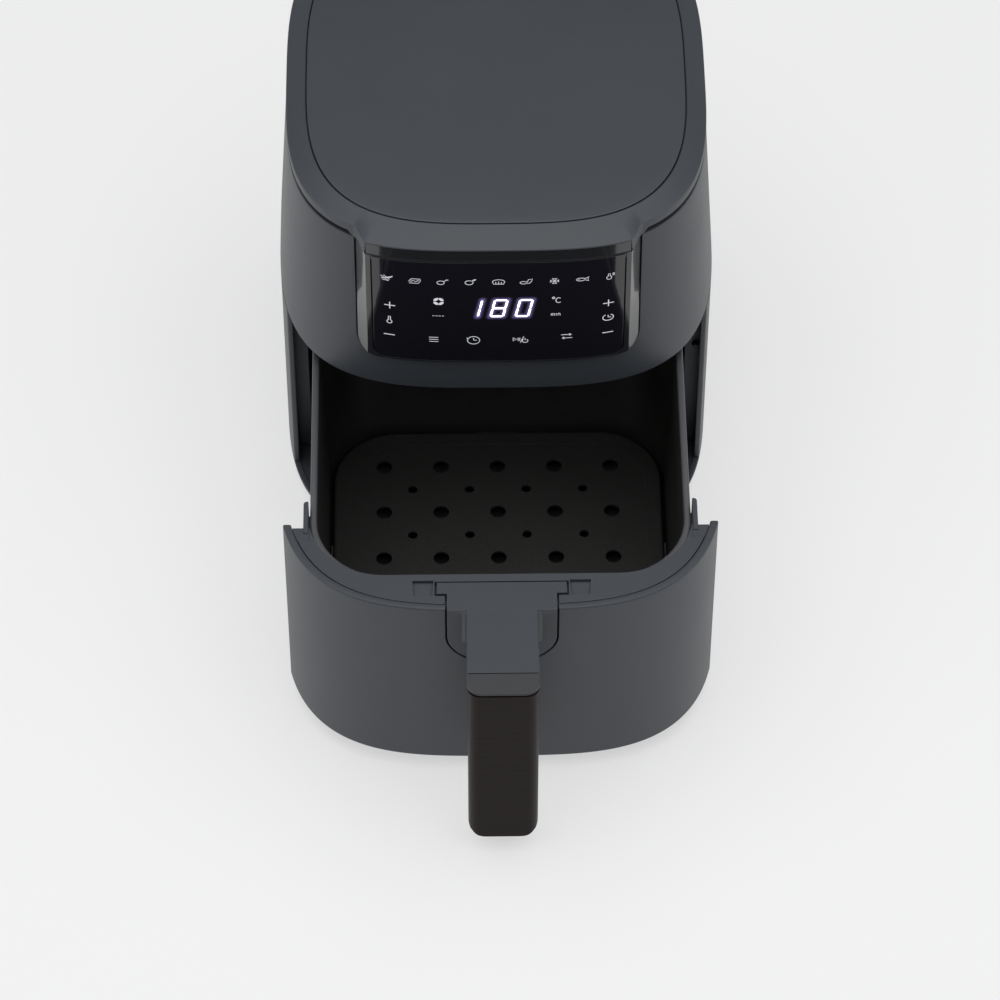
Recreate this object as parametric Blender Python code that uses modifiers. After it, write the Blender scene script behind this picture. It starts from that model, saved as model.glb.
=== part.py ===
"""Drawer-type air fryer, with its drawer pulled out as for serving.

Everything is laid out from the middle of the front lower edge of the upper shell: +X is right, +Y runs to the
back and +Z is up. An empty then puts the middle of the whole footprint, drawer and handle included, at the
origin. All lengths are in metres.
"""

import math

import bmesh
import bpy
from mathutils import Matrix, Vector

# Overall sizes
WIDTH = 0.270
FRONT_REACH = 0.140  # from the widest line of the plan to its front
BACK_REACH = 0.150  # from the widest line of the plan to its back
PLAN_POWER = 3.35  # 2 would be an ellipse, and a high number a rectangle
SEAM_Z = 0.160  # joint between the lower housing and the upper shell
SHELL_HEIGHT = 0.117
LID_HEIGHT = 0.0170  # from the upper shell's top edge to the top of the lid plate
TOP_INSET = 0.0077  # how far the upper shell draws in by its top
DRAWER_OUT = 0.170  # how far the drawer is pulled out at rest

# Clearances
GAP = 0.0003  # between pieces that touch
SLIDE_GAP = 0.0008  # between pieces that slide past each other
SEAM_GAP = 0.0006  # the visible joint round a fitted piece
BRACKET_GAP = 0.0010  # the wider joint round the handle's bracket

# Walls
SHELL_WALL = 0.003
DRAWER_WALL = 0.0045
SHEET = 0.0012

# Base
FOOT_HEIGHT = 0.004
FOOT_RADIUS = 0.011
BASE_TOP = 0.0095  # floor of the base tray
LIP_RISE = 0.0017
LIP_WIDTH = 0.0035
TRAY_UNDERCUT = 0.008  # how far the tray's flat underside stands in from its edge
TRAY_BEVEL = 0.0025
FOOT_INSET = 0.047  # from the body's side
FOOT_FRONT_Y = 0.038
FOOT_BACK_INSET = 0.055
SCREW_OFFSET = 0.020  # from each foot back to its screw
SCREW_RADIUS = 0.0037
RAIL_X = 0.072
RAIL_WIDTH = 0.008
FLANGE_WIDTH = 0.008  # of the drawer front's turned-in lower edge

# Drawer opening
WRAP_Y = 0.066  # the drawer front's side edges, with the drawer shut
BULKHEAD_DEPTH = 0.015  # from the side walls' front edges to the bulkhead
BAY_INSET = 0.0165  # from the body's side to the drawer bay
BAY_BACK_Y = 0.262
BAY_ROUNDNESS = 8 / 45  # corner radius of the drawer bay over the body's width
SHELL_FLANGE = 0.016  # how far the upper shell's lower edge is turned in, its wall included
CUT = 0.02  # how far a cutting tool reaches past the piece it cuts
EDGE = 0.001  # a small bevel on a moulded edge

# Basket, with the drawer shut
BASKET_SIDE_GAP = 0.0045  # from the drawer bay's side to the basket's rim
BASKET_FRONT_Y = 0.0285
BASKET_BACK_Y = 0.2540
BASKET_RADIUS = 0.045
BASKET_RIM_Z = 0.1515
BASKET_SHEET = 0.0018
BASKET_ROLL = 0.0020  # height of its rolled rim
CRISPER_HEIGHT = 0.0140
CRISPER_CLEARANCE = 0.0022
BASKET_TAPER = 0.0062  # how far its sides draw in by the floor
BASKET_ROLL_WIDTH = 0.0022
CRISPER_LEG = 0.0030  # height of its legs below the skirt
CRISPER_LEG_X = 0.060
CRISPER_HOLES = 5  # in each row, and rows
CRISPER_HOLE_RADIUS = 0.0050
CRISPER_PITCH_X = 0.036
CRISPER_PITCH_Y = 0.037
BUMPER_HALF_LENGTH = 0.012
BUMPER_LOW = 0.0080  # below the crisper plate's top
BUMPER_HIGH = 0.0020

# Drawer front and ledge
DRAWER_TOP_Z = 0.1590
LEDGE_DROP = 0.0006
LEDGE_THICKNESS = 0.0032
POCKET_X = 0.0465
POCKET_FRONT_Y = 0.0120
POCKET_DEPTH = 0.0108
ARM_DROP = 0.014  # how far the arms hang below the ledge
HOOK_REACH = 0.0012  # how far they reach in under the basket's rim
ARM_REACH = 0.018  # how far the ledge's arms run back past the drawer front's side edges
ARM_START = 0.006  # how far in front of those edges they start
ARM_ROUND = 0.0020  # rounding of their tips
POCKET_HALF_FRONT = 0.0052
POCKET_HALF_BACK = 0.0062
LEDGE_STEP_LENGTH = 0.0100  # of the shallow step at each end of the ledge
LEDGE_STEP_DEPTH = 0.0008

# Handle
STEM_HALF_WIDTH = 0.0213
STEM_REACH = 0.046  # in front of the drawer front
STEM_THICKNESS = 0.0125
HANDLE_REACH = 0.062
HANDLE_BACK = 0.040
GRIP_SPLIT_Y = -0.0500  # where the front shell meets the spine
CAP_THICKNESS = 0.0022
CAP_SETBACK = 0.0006
TENON_INSET = 0.0012  # from the stem's sides to those of the tenon that carries the cap
GRIP_BOTTOM_Z = 0.0155
TAB_HALF_WIDTH = 0.0385
TAB_FRONT_Y = 0.0126
TAB_BACK_Y = 0.0210
SHIELD_HALF_WIDTH = 0.0325
SHIELD_WAIST_Z = 0.133  # where its straight sides end
SHIELD_DROP = 0.026  # how far its rounded lower end reaches below the waist
GUSSET_DROP = 0.022  # how far the web under the stem reaches down the shield
GUSSET_REACH = 0.026
SHIELD_THICKNESS = 0.0033
CAP_CORNER = 0.0085
GRIP_CORNER = 0.0070
GRIP_FOOT_CORNER = 0.0110
SPINE_CORNER = 0.006
HANDLE_SCREW_X = 0.014
HANDLE_SCREW_Z = 0.120
TONGUE_X = 0.044  # of the plate that locks the bracket under the ledge
TONGUE_Y = (0.0062, 0.0235)
RISER_X = 0.025  # of the web that carries it
RISER_Y = (0.0140, 0.0190)

# Control panel
PANEL_HALF_WIDTH = 0.0848
PANEL_BOTTOM_Z = 0.1860
PANEL_RADIUS = 0.012
PANEL_PROUD = 0.0015
SIDE_STRIP = 0.0058  # width of the frame's two sloping sides
FRAME_LIP = 0.0038  # from the sloping sides to the overlay
OVERLAY_THICKNESS = 0.0020
DISPLAY_HALF_WIDTH = 0.031
DISPLAY_X = 0.003
DISPLAY_Z = 0.235
DISPLAY_HEIGHT = 0.026
DISPLAY_BACK_Y = 0.0157
PANEL_DEPTH = 0.0075  # from the shell's surface to the frame's back
PANEL_FOOT = 0.0015  # of the frame below the overlay
BOARD_HALF_WIDTH = 0.068
BOARD_Y = (0.0160, 0.0176)

# Lid
LID_RIM = 0.0062
LID_SHADOW_GAP = 0.0038
TONGUE_OVERHANG = 0.0017  # of the lid's tongue past each side of the panel frame
TONGUE_SKIN = 0.0012
PLATE_HALF_WIDTH = 0.1147
PLATE_FRONT_Y = 0.0152
PLATE_BACK_Y = 0.2700
PLATE_POWER = 3.2
PLATE_THICKNESS = 0.0030
LID_CROWN = 0.0015  # how far the plate's middle stands above its edge
LID_SEAT_WIDTH = 0.006  # of the rebate that the plate lies in
LID_SEAT_THICKNESS = 0.002

# Heating chamber and drive
CHAMBER_HEIGHT = 0.0400
CHAMBER_FRONT_Y = 0.0230
FAN_RADIUS = 0.048
SHAFT_RADIUS = 0.003
ELEMENT_RADIUS = 0.0033
ELEMENT_INNER = 0.058
ELEMENT_OUTER = 0.088
MOTOR_RADIUS = 0.030
MOTOR_HEIGHT = 0.032
TERMINAL_REACH = 0.012  # of the element's ends past its outer turn
TERMINAL_HALF_PITCH = 0.010
TERMINAL_HOLE = 0.0045
SENSOR_X = 0.060
SENSOR_INSET = 0.030  # behind the chamber's front
FAN_HOLE = 0.008
DUCT_HALF_WIDTH = 0.030  # of the opening in the chamber's back
DUCT_WALL = 0.0015
ELEMENT_TURNS = 1.89
ELEMENT_POINTS = 38
ELEMENT_START = 0.055  # of a turn, where the element's outer end comes down
GUARD_REACH = 0.104
GUARD_WIRE = 0.0012  # half the width of its bars
GUARD_RINGS = (0.040, 0.070, 0.100)
HUB_RADIUS = 0.008
DISC_THICKNESS = 0.0012
BLADE_THICKNESS = 0.0012
BLADE_START = 0.42  # share of the fan's radius
BLADE_END = 0.97
BLADE_LEAN = 0.5  # radians
INSULATION_RISE = 0.0030  # above the chamber's top
INSULATION_THICKNESS = 0.0015
INSULATION_HALF_WIDTH = 0.100

# Drawer switch
SWITCH_Z = 0.107
SWITCH_HALF_WIDTH = 0.0030
SWITCH_HALF_HEIGHT = 0.010
SWITCH_DEPTH = 0.018
PLUNGER_RADIUS = 0.0018
PLUNGER_TRAVEL = 0.0025
PLUNGER_TIP = 0.0030  # how far the plunger stands in front of the bulkhead
PLUNGER_SEATED = 0.0045  # how far it reaches past the bulkhead into the switch
RIB_HALF_HEIGHT = 0.003

# Back
GRILLE_HALF_WIDTH = 0.0475
GRILLE_BOTTOM_Z = 0.186
GRILLE_HEIGHT = 0.068
SPACER_DEPTH = 0.006
SPACER_HALF_WIDTH = 0.020
SPACER_Z = (0.100, 0.128)
GRILLE_RIM = 0.0040
GRILLE_THICKNESS = 0.0030
GRILLE_SLATS = 7
GLAND_RADIUS = 0.0060
GLAND_COLLAR = 0.0092
GLAND_BORE = 0.0034
GLAND_X = 0.045
GLAND_Z = 0.035

PLAN_POINTS = 72
FACE_POINTS = 15

# Places that follow from the sizes
BULKHEAD_Y = WRAP_Y + BULKHEAD_DEPTH
BAY_HALF_WIDTH = WIDTH / 2 - BAY_INSET
BAY_RADIUS = WIDTH * BAY_ROUNDNESS
BASKET_HALF_WIDTH = BAY_HALF_WIDTH - BASKET_SIDE_GAP
FACE_HALF_WIDTH = PANEL_HALF_WIDTH - SIDE_STRIP
OVERLAY_HALF_WIDTH = FACE_HALF_WIDTH - FRAME_LIP
TONGUE_HALF_WIDTH = PANEL_HALF_WIDTH + TONGUE_OVERHANG
WIDEST_Y = FRONT_REACH
BACK_Y = FRONT_REACH + BACK_REACH
SHELL_TOP_Z = SEAM_Z + SHELL_HEIGHT
LID_TOP_Z = SHELL_TOP_Z + LID_HEIGHT
LID_EDGE_Z = SHELL_TOP_Z + LID_SHADOW_GAP + LID_RIM
LIP_Z = BASE_TOP + LIP_RISE
HOUSING_BOTTOM_Z = LIP_Z + GAP
DRAWER_BOTTOM_Z = LIP_Z + SLIDE_GAP
BASKET_BOTTOM_Z = BASE_TOP + 0.005
RAIL_TOP_Z = BASKET_BOTTOM_Z - GAP
CRISPER_BOTTOM_Z = BASKET_BOTTOM_Z + BASKET_SHEET + GAP
RAIL_FRONT_Y = 2 * (DRAWER_WALL + FLANGE_WIDTH)
CRISPER_TOP_Z = CRISPER_BOTTOM_Z + CRISPER_HEIGHT
LEDGE_TOP_Z = DRAWER_TOP_Z - LEDGE_DROP
FAN_Y = (BASKET_FRONT_Y + BASKET_BACK_Y) / 2
FLANGE_TOP_Z = SEAM_Z + 0.0025
CHAMBER_BOTTOM_Z = FLANGE_TOP_Z + SLIDE_GAP
CHAMBER_TOP_Z = CHAMBER_BOTTOM_Z + CHAMBER_HEIGHT
CHAMBER_HALF_WIDTH = BAY_HALF_WIDTH + 0.002
STEM_BOTTOM_Z = DRAWER_TOP_Z - STEM_THICKNESS
OVERALL_BACK_Y = BACK_Y + SPACER_DEPTH + GAP
FOOTPRINT_MIDDLE_Y = (OVERALL_BACK_Y - DRAWER_OUT - HANDLE_REACH) / 2

FINISHES = {
    "shell_plastic": ((0.082, 0.090, 0.100), 0.55, 0.0),
    "gloss_frame": ((0.018, 0.019, 0.022), 0.12, 0.0),
    "control_black": ((0.010, 0.010, 0.013), 0.08, 0.0),
    "grip_brown": ((0.045, 0.026, 0.018), 0.45, 0.0),
    "nonstick": ((0.030, 0.028, 0.027), 0.35, 0.3),
    "steel": ((0.55, 0.55, 0.56), 0.35, 1.0),
    "aluminium": ((0.70, 0.70, 0.72), 0.40, 1.0),
    "rubber": ((0.020, 0.020, 0.020), 0.80, 0.0),
    "black_plastic": ((0.025, 0.025, 0.027), 0.60, 0.0),
    "circuit_board": ((0.020, 0.140, 0.060), 0.50, 0.0),
}


def clear_scene():
    for obj in list(bpy.data.objects):
        bpy.data.objects.remove(obj, do_unlink=True)


def new_collection(name):
    made = bpy.data.collections.new(name)
    bpy.context.scene.collection.children.link(made)
    return made


def finish(name):
    """The Principled material of this name, made the first time it is asked for."""
    found = bpy.data.materials.get(name)
    if found:
        return found
    colour, roughness, metallic = FINISHES[name]
    made = bpy.data.materials.new(name)
    made.use_nodes = True
    shader = made.node_tree.nodes["Principled BSDF"]
    shader.inputs["Base Color"].default_value = (*colour, 1)
    shader.inputs["Roughness"].default_value = roughness
    shader.inputs["Metallic"].default_value = metallic
    return made


def empty(name, location, parent=None):
    made = bpy.data.objects.new(name, None)
    made.location = location
    made.parent = parent
    parts.objects.link(made)
    return made


def placed(name, bm, material, parent):
    """An object of this mesh, in the collection of parts."""
    bmesh.ops.recalc_face_normals(bm, faces=bm.faces)
    mesh = bpy.data.meshes.new(name)
    bm.to_mesh(mesh)
    bm.free()
    mesh.materials.append(finish(material))
    for polygon in mesh.polygons:
        polygon.use_smooth = True
    mesh.set_sharp_from_angle(angle=math.radians(35))
    made = bpy.data.objects.new(name, mesh)
    made.parent = parent
    parts.objects.link(made)
    return made


def combine(obj, bm, operation):
    """A Boolean of obj with this mesh, which becomes a hidden tool under the same parent."""
    bmesh.ops.recalc_face_normals(bm, faces=bm.faces)
    mesh = bpy.data.meshes.new(obj.name + "_tool")
    bm.to_mesh(mesh)
    bm.free()
    tool = bpy.data.objects.new(mesh.name, mesh)
    tool.parent = obj.parent
    tool.hide_render = True
    tool.display_type = "WIRE"
    tools.objects.link(tool)
    modifier = obj.modifiers.new(operation.lower(), "BOOLEAN")
    modifier.operation = operation
    modifier.object = tool
    return obj


def cut(obj, bm):
    return combine(obj, bm, "DIFFERENCE")


def join(obj, bm):
    return combine(obj, bm, "UNION")


def keep(obj, bm):
    return combine(obj, bm, "INTERSECT")


def box(low, high):
    """A cube stretched between two corners."""
    bm = bmesh.new()
    low, high = Vector(low), Vector(high)
    size = high - low
    matrix = Matrix.Translation((low + high) / 2) @ Matrix.Diagonal((*size, 1))
    bmesh.ops.create_cube(bm, size=1, matrix=matrix)
    return bm


def rod(radius, start, end, segments=16, end_radius=None):
    """A cylinder, or a cone, between two points."""
    bm = bmesh.new()
    start, end = Vector(start), Vector(end)
    turn = (end - start).to_track_quat("Z", "Y").to_matrix().to_4x4()
    bmesh.ops.create_cone(
        bm,
        cap_ends=True,
        segments=segments,
        radius1=radius,
        radius2=radius if end_radius is None else end_radius,
        depth=(end - start).length,
        matrix=Matrix.Translation((start + end) / 2) @ turn,
    )
    return bm


def prism(outline, low, high, axis="Z"):
    """An outline of 2D points extruded along an axis: its points are (x, z) along Y, and (y, z) along X."""
    bm = bmesh.new()
    place = {
        "Z": lambda u, v, w: (u, v, w),
        "Y": lambda u, v, w: (u, w, v),
        "X": lambda u, v, w: (w, u, v),
    }[axis]
    base = bm.faces.new([bm.verts.new(place(u, v, low)) for u, v in outline])
    grown = bmesh.ops.extrude_face_region(bm, geom=[base])["geom"]
    moved = [item for item in grown if isinstance(item, bmesh.types.BMVert)]
    bmesh.ops.translate(bm, verts=moved, vec=Vector(place(0, 0, high - low)))
    return bm


def skin(rings, closed=False):
    """A surface through rings of as many points each, joined round to the first ring or else capped."""
    bm = bmesh.new()
    rows = [[bm.verts.new(point) for point in ring] for ring in rings]
    pairs = list(zip(rows, rows[1:] + rows[:1])) if closed else list(zip(rows, rows[1:]))
    for lower, upper in pairs:
        for k in range(len(lower)):
            following = (k + 1) % len(lower)
            bm.faces.new((lower[k], lower[following], upper[following], upper[k]))
    if not closed:
        bm.faces.new(rows[0][::-1])
        bm.faces.new(rows[-1])
    return bm


def plan(half_width, front, back, z, power=PLAN_POWER):
    """The rounded plan outline at a height: a superellipse with unlike front and back halves."""
    ring = []
    for k in range(PLAN_POINTS):
        turn = 2 * math.pi * (k + 0.5) / PLAN_POINTS
        across, along = math.cos(turn), math.sin(turn)
        reach = WIDEST_Y - front if along < 0 else back - WIDEST_Y
        x = half_width * math.copysign(abs(across) ** (2 / power), across)
        y = WIDEST_Y + reach * math.copysign(abs(along) ** (2 / power), along)
        ring.append((x, y, z))
    return ring


def body_plan(inset, z):
    return plan(WIDTH / 2 - inset, inset, BACK_Y - inset, z)


def draw_in(z):
    """How far the upper shell's outside has drawn in at this height."""
    return TOP_INSET * min(max(z - SEAM_Z, 0) / SHELL_HEIGHT, 1)


def front_y(x, inset=0.0):
    """The Y of the body's front surface at this X."""
    share = min(abs(x) / (WIDTH / 2 - inset), 1)
    reach = FRONT_REACH - inset
    return WIDEST_Y - reach * (1 - share**PLAN_POWER) ** (1 / PLAN_POWER)


def side_x(y, inset=0.0):
    """The X of the body's right side at this Y, in front of the widest line."""
    share = min((WIDEST_Y - y) / (FRONT_REACH - inset), 1)
    return (WIDTH / 2 - inset) * (1 - share**PLAN_POWER) ** (1 / PLAN_POWER)


def spread(low, high, count):
    return [low + (high - low) * k / (count - 1) for k in range(count)]


def arc(centre_u, centre_v, radius, start, end, steps=6):
    """Points along an arc, with its angles in degrees."""
    points = []
    for angle in spread(math.radians(start), math.radians(end), steps + 1):
        points.append((centre_u + radius * math.cos(angle), centre_v + radius * math.sin(angle)))
    return points


def rounded(half_width, low, high, radius_low, radius_high, steps=6):
    """A rectangle about X = 0 with rounded corners, anticlockwise from its lower right corner."""
    u = half_width
    return (
        arc(u - radius_low, low + radius_low, radius_low, -90, 0, steps)
        + arc(u - radius_high, high - radius_high, radius_high, 0, 90, steps)
        + arc(radius_high - u, high - radius_high, radius_high, 90, 180, steps)
        + arc(radius_low - u, low + radius_low, radius_low, 180, 270, steps)
    )


def tray_ring(inset, z, half_width=BASKET_HALF_WIDTH, front=BASKET_FRONT_Y, back=BASKET_BACK_Y):
    """The basket's rounded outline, drawn in by an inset, at a height."""
    radius = BASKET_RADIUS - inset * 0.5
    outline = rounded(half_width - inset, front + inset, back - inset, radius, radius)
    return [(x, y, z) for x, y in outline]


def curved_plate(half_width, front_offset, back_offset, count=15):
    """A plan outline that follows the body's curved front between two offsets from it."""
    xs = spread(-half_width, half_width, count)
    front = [(x, front_y(x) + front_offset) for x in xs]
    back = [(x, front_y(x) + back_offset) for x in reversed(xs)]
    return front + back


# ---- Base ----------------------------------------------------------------------------------------------------


def make_base_tray(root):
    rings = [
        body_plan(TRAY_UNDERCUT, FOOT_HEIGHT),
        body_plan(2 * EDGE, FOOT_HEIGHT + TRAY_BEVEL),
        body_plan(0, BASE_TOP - EDGE),
        body_plan(0, LIP_Z),
        body_plan(LIP_WIDTH, LIP_Z),
        body_plan(LIP_WIDTH, BASE_TOP),
    ]
    tray = placed("base_tray", skin(rings), "shell_plastic", root)
    for side in (-1, 1):
        x = side * RAIL_X
        low = (x - RAIL_WIDTH / 2, RAIL_FRONT_Y, BASE_TOP - EDGE)
        high = (x + RAIL_WIDTH / 2, BAY_BACK_Y - 0.006, RAIL_TOP_Z)
        join(tray, box(low, high))
    for x, y in foot_places():
        y += SCREW_OFFSET
        low, high = FOOT_HEIGHT - 0.002, FOOT_HEIGHT + 0.0022
        cut(tray, rod(SCREW_RADIUS + 0.0005, (x, y, low), (x, y, high), 12))


def foot_places():
    half = WIDTH / 2 - FOOT_INSET
    return [(x, y) for y in (FOOT_FRONT_Y, BACK_Y - FOOT_BACK_INSET) for x in (-half, half)]


def make_feet(root):
    names = ["foot_front_left", "foot_front_right", "foot_rear_left", "foot_rear_right"]
    for name, (x, y) in zip(names, foot_places()):
        foot = rod(FOOT_RADIUS * 0.9, (x, y, 0), (x, y, FOOT_HEIGHT - GAP), 20, FOOT_RADIUS)
        placed(name, foot, "rubber", root)


def make_base_screws(root):
    names = ["base_screw_front_left", "base_screw_front_right", "base_screw_rear_left", "base_screw_rear_right"]
    for name, (x, y) in zip(names, foot_places()):
        y += SCREW_OFFSET
        low, high = FOOT_HEIGHT + 0.0002, FOOT_HEIGHT + 0.0019
        placed(name, rod(SCREW_RADIUS, (x, y, low), (x, y, high), 12), "steel", root)


# ---- Housing -------------------------------------------------------------------------------------------------


def make_lower_housing(root):
    top = SEAM_Z - GAP
    rings = [
        body_plan(0, HOUSING_BOTTOM_Z),
        body_plan(0, top),
        body_plan(SHELL_WALL, top),
        body_plan(SHELL_WALL, HOUSING_BOTTOM_Z),
    ]
    housing = placed("lower_housing", skin(rings, closed=True), "shell_plastic", root)
    cut(housing, box((-WIDTH, -CUT, 0), (WIDTH, WRAP_Y + SEAM_GAP, SEAM_Z + CUT)))
    outer = WIDTH / 2 - SHELL_WALL - 0.0005
    for side in (-1, 1):
        near, far = sorted((side * BAY_HALF_WIDTH, side * outer))
        join(housing, box((near, BULKHEAD_Y, HOUSING_BOTTOM_Z), (far, BULKHEAD_Y + SHELL_WALL, top)))
    hole = GLAND_RADIUS + SEAM_GAP
    cut(housing, rod(hole, (GLAND_X, BACK_Y - CUT, GLAND_Z), (GLAND_X, BACK_Y + CUT, GLAND_Z), 16))
    x, z = switch_place()
    hole = PLUNGER_RADIUS + SLIDE_GAP
    cut(housing, rod(hole, (x, BULKHEAD_Y - CUT, z), (x, BULKHEAD_Y + CUT, z), 12))


def make_upper_shell(root):
    top_wall = TOP_INSET + SHELL_WALL
    rings = [
        body_plan(0, SEAM_Z),
        body_plan(TOP_INSET, SHELL_TOP_Z),
        body_plan(top_wall, SHELL_TOP_Z),
        body_plan(SHELL_WALL, FLANGE_TOP_Z),
        body_plan(SHELL_FLANGE, FLANGE_TOP_Z),
        body_plan(SHELL_FLANGE, SEAM_Z),
    ]
    shell = placed("upper_shell", skin(rings, closed=True), "shell_plastic", root)
    half = PANEL_HALF_WIDTH + SEAM_GAP
    window = rounded(half, PANEL_BOTTOM_Z - SEAM_GAP, LID_TOP_Z + CUT, PANEL_RADIUS + SEAM_GAP, EDGE)
    cut(shell, prism(window, -CUT, CHAMBER_FRONT_Y + CUT, "Y"))
    half = GRILLE_HALF_WIDTH + SEAM_GAP
    low = GRILLE_BOTTOM_Z - SEAM_GAP
    high = GRILLE_BOTTOM_Z + GRILLE_HEIGHT + SEAM_GAP
    cut(shell, box((-half, BACK_Y - CUT, low), (half, BACK_Y + CUT, high)))


# ---- Control panel -------------------------------------------------------------------------------------------


def panel_section(z):
    """The frame's plan outline at a height: a curved face whose two sides slope back to the shell."""
    xs = spread(-FACE_HALF_WIDTH, FACE_HALF_WIDTH, FACE_POINTS)
    inset = draw_in(z)
    edge = PANEL_HALF_WIDTH
    edge_y = front_y(edge, inset)
    face = [(x, front_y(x) - PANEL_PROUD, z) for x in xs]
    back = [(x, front_y(x) + PANEL_DEPTH, z) for x in reversed(xs)]
    right = [(edge, edge_y, z), (edge, edge_y + SHELL_WALL, z)]
    left = [(-edge, edge_y + SHELL_WALL, z), (-edge, edge_y, z)]
    return face + right + back + left


def make_panel_frame(root):
    top = SHELL_TOP_Z - GAP
    sections = [panel_section(PANEL_BOTTOM_Z), panel_section(top)]
    frame = placed("panel_frame", skin(sections), "gloss_frame", root)
    window = rounded(PANEL_HALF_WIDTH + 0.0001, PANEL_BOTTOM_Z, top + CUT, PANEL_RADIUS, EDGE)
    keep(frame, prism(window, -CUT, 3 * CUT, "Y"))
    band_top = LID_EDGE_Z - TONGUE_SKIN - GAP
    band = curved_plate(FACE_HALF_WIDTH - 0.0005, 0.0005 - PANEL_PROUD, 0.006)
    join(frame, prism(band, top - OVERLAY_THICKNESS * 2, band_top))
    half = OVERLAY_HALF_WIDTH + SEAM_GAP
    floor = OVERLAY_THICKNESS + GAP - PANEL_PROUD
    xs = spread(-half, half, FACE_POINTS)
    pocket = [(-half, -CUT), (half, -CUT)] + [(x, front_y(x) + floor) for x in reversed(xs)]
    cutter = bpy.data.meshes.new("overlay_pocket")
    pocket_bm = prism(pocket, PANEL_BOTTOM_Z + PANEL_FOOT, top - GAP)
    pocket_bm.to_mesh(cutter)
    pocket_bm.free()
    cut(frame, mesh_again(cutter))
    half = DISPLAY_HALF_WIDTH + SEAM_GAP
    half_height = DISPLAY_HEIGHT / 2 + SEAM_GAP
    low = (DISPLAY_X - half, -CUT, DISPLAY_Z - half_height)
    cut(frame, box(low, (DISPLAY_X + half, CUT, DISPLAY_Z + half_height)))


def mesh_again(mesh):
    bm = bmesh.new()
    bm.from_mesh(mesh)
    bpy.data.meshes.remove(mesh)
    return bm


def make_control_overlay(root):
    bottom = PANEL_BOTTOM_Z + PANEL_FOOT + SEAM_GAP
    top = SHELL_TOP_Z - 2 * GAP - SEAM_GAP
    outline = curved_plate(OVERLAY_HALF_WIDTH, -PANEL_PROUD, OVERLAY_THICKNESS - PANEL_PROUD)
    overlay = placed("control_overlay", prism(outline, bottom, top), "control_black", root)
    corner = PANEL_RADIUS - SHELL_WALL
    window = rounded(OVERLAY_HALF_WIDTH + EDGE, bottom, top + CUT, corner, EDGE)
    keep(overlay, prism(window, -CUT, 3 * CUT, "Y"))


def make_display_module(root):
    front = OVERLAY_THICKNESS - PANEL_PROUD + 0.0012
    low = (DISPLAY_X - DISPLAY_HALF_WIDTH, front, DISPLAY_Z - DISPLAY_HEIGHT / 2)
    high = (DISPLAY_X + DISPLAY_HALF_WIDTH, DISPLAY_BACK_Y, DISPLAY_Z + DISPLAY_HEIGHT / 2)
    placed("display_module", box(low, high), "black_plastic", root)


def make_control_board(root):
    low_z = PANEL_BOTTOM_Z + 0.008
    half, (front, back) = BOARD_HALF_WIDTH, BOARD_Y
    board = box((-half, front, low_z), (half, back, SHELL_TOP_Z - 0.006))
    board = placed("control_board", board, "circuit_board", root)
    join(board, rod(0.006, (0.050, 0.0170, low_z + 0.02), (0.050, 0.0215, low_z + 0.02), 16))
    join(board, box((-0.060, 0.0170, low_z + 0.005), (-0.030, 0.0215, low_z + 0.013)))


# ---- Lid -----------------------------------------------------------------------------------------------------


def plate_ring(inset, z):
    return plan(PLATE_HALF_WIDTH - inset, PLATE_FRONT_Y + inset, PLATE_BACK_Y - inset, z, PLATE_POWER)


def make_lid(root):
    bottom = SHELL_TOP_Z + LID_SHADOW_GAP
    seat_top = LID_TOP_Z - LID_CROWN
    seat = seat_top - PLATE_THICKNESS
    rings = [
        body_plan(TOP_INSET + 0.0002, bottom),
        body_plan(TOP_INSET, LID_EDGE_Z - EDGE),
        body_plan(TOP_INSET + EDGE, LID_EDGE_Z),
        plate_ring(-SEAM_GAP, seat_top),
        plate_ring(-SEAM_GAP, seat),
        plate_ring(LID_SEAT_WIDTH, seat),
        plate_ring(LID_SEAT_WIDTH, seat - LID_SEAT_THICKNESS),
        body_plan(TOP_INSET + 0.0030, LID_EDGE_Z - 0.0025),
        body_plan(TOP_INSET + 0.0026, bottom),
    ]
    lid = placed("lid", skin(rings, closed=True), "shell_plastic", root)
    join(lid, tongue_block())


def tongue_block():
    """The part of the lid that reaches forward over the control panel, hollow under its skin."""
    inner = FACE_HALF_WIDTH - EDGE
    xs = spread(-inner, inner, FACE_POINTS)
    inset = TOP_INSET + 0.0006
    start = front_y(inner) - PANEL_PROUD
    end = front_y(TONGUE_HALF_WIDTH, inset)
    bend = []
    for share in spread(0.15, 1.0, 6):
        ease = share * share * (3 - 2 * share)
        bend.append((inner + (TONGUE_HALF_WIDTH - inner) * share, start + (end - start) * ease))
    back_y = end + 0.006
    front = [(x, front_y(x) - PANEL_PROUD) for x in xs]
    left = [(-x, y) for x, y in reversed(bend)]
    outline = left + front + bend + [(TONGUE_HALF_WIDTH, back_y), (-TONGUE_HALF_WIDTH, back_y)]
    low = SHELL_TOP_Z + GAP
    bm = prism(outline, low, LID_EDGE_Z - 0.0001)
    mesh = bpy.data.meshes.new("tongue")
    bm.to_mesh(mesh)
    bm.free()
    block = bpy.data.objects.new("tongue_block", mesh)
    tools.objects.link(block)
    block.hide_render = True
    block.display_type = "WIRE"
    high = (FACE_HALF_WIDTH, end - 0.0015, LID_EDGE_Z - TONGUE_SKIN)
    notch = box((-FACE_HALF_WIDTH, -CUT, low - CUT), high)
    cut(block, notch)
    bpy.context.view_layer.update()
    graph = bpy.context.evaluated_depsgraph_get()
    made = bpy.data.meshes.new_from_object(block.evaluated_get(graph))
    return mesh_again(made)


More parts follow.
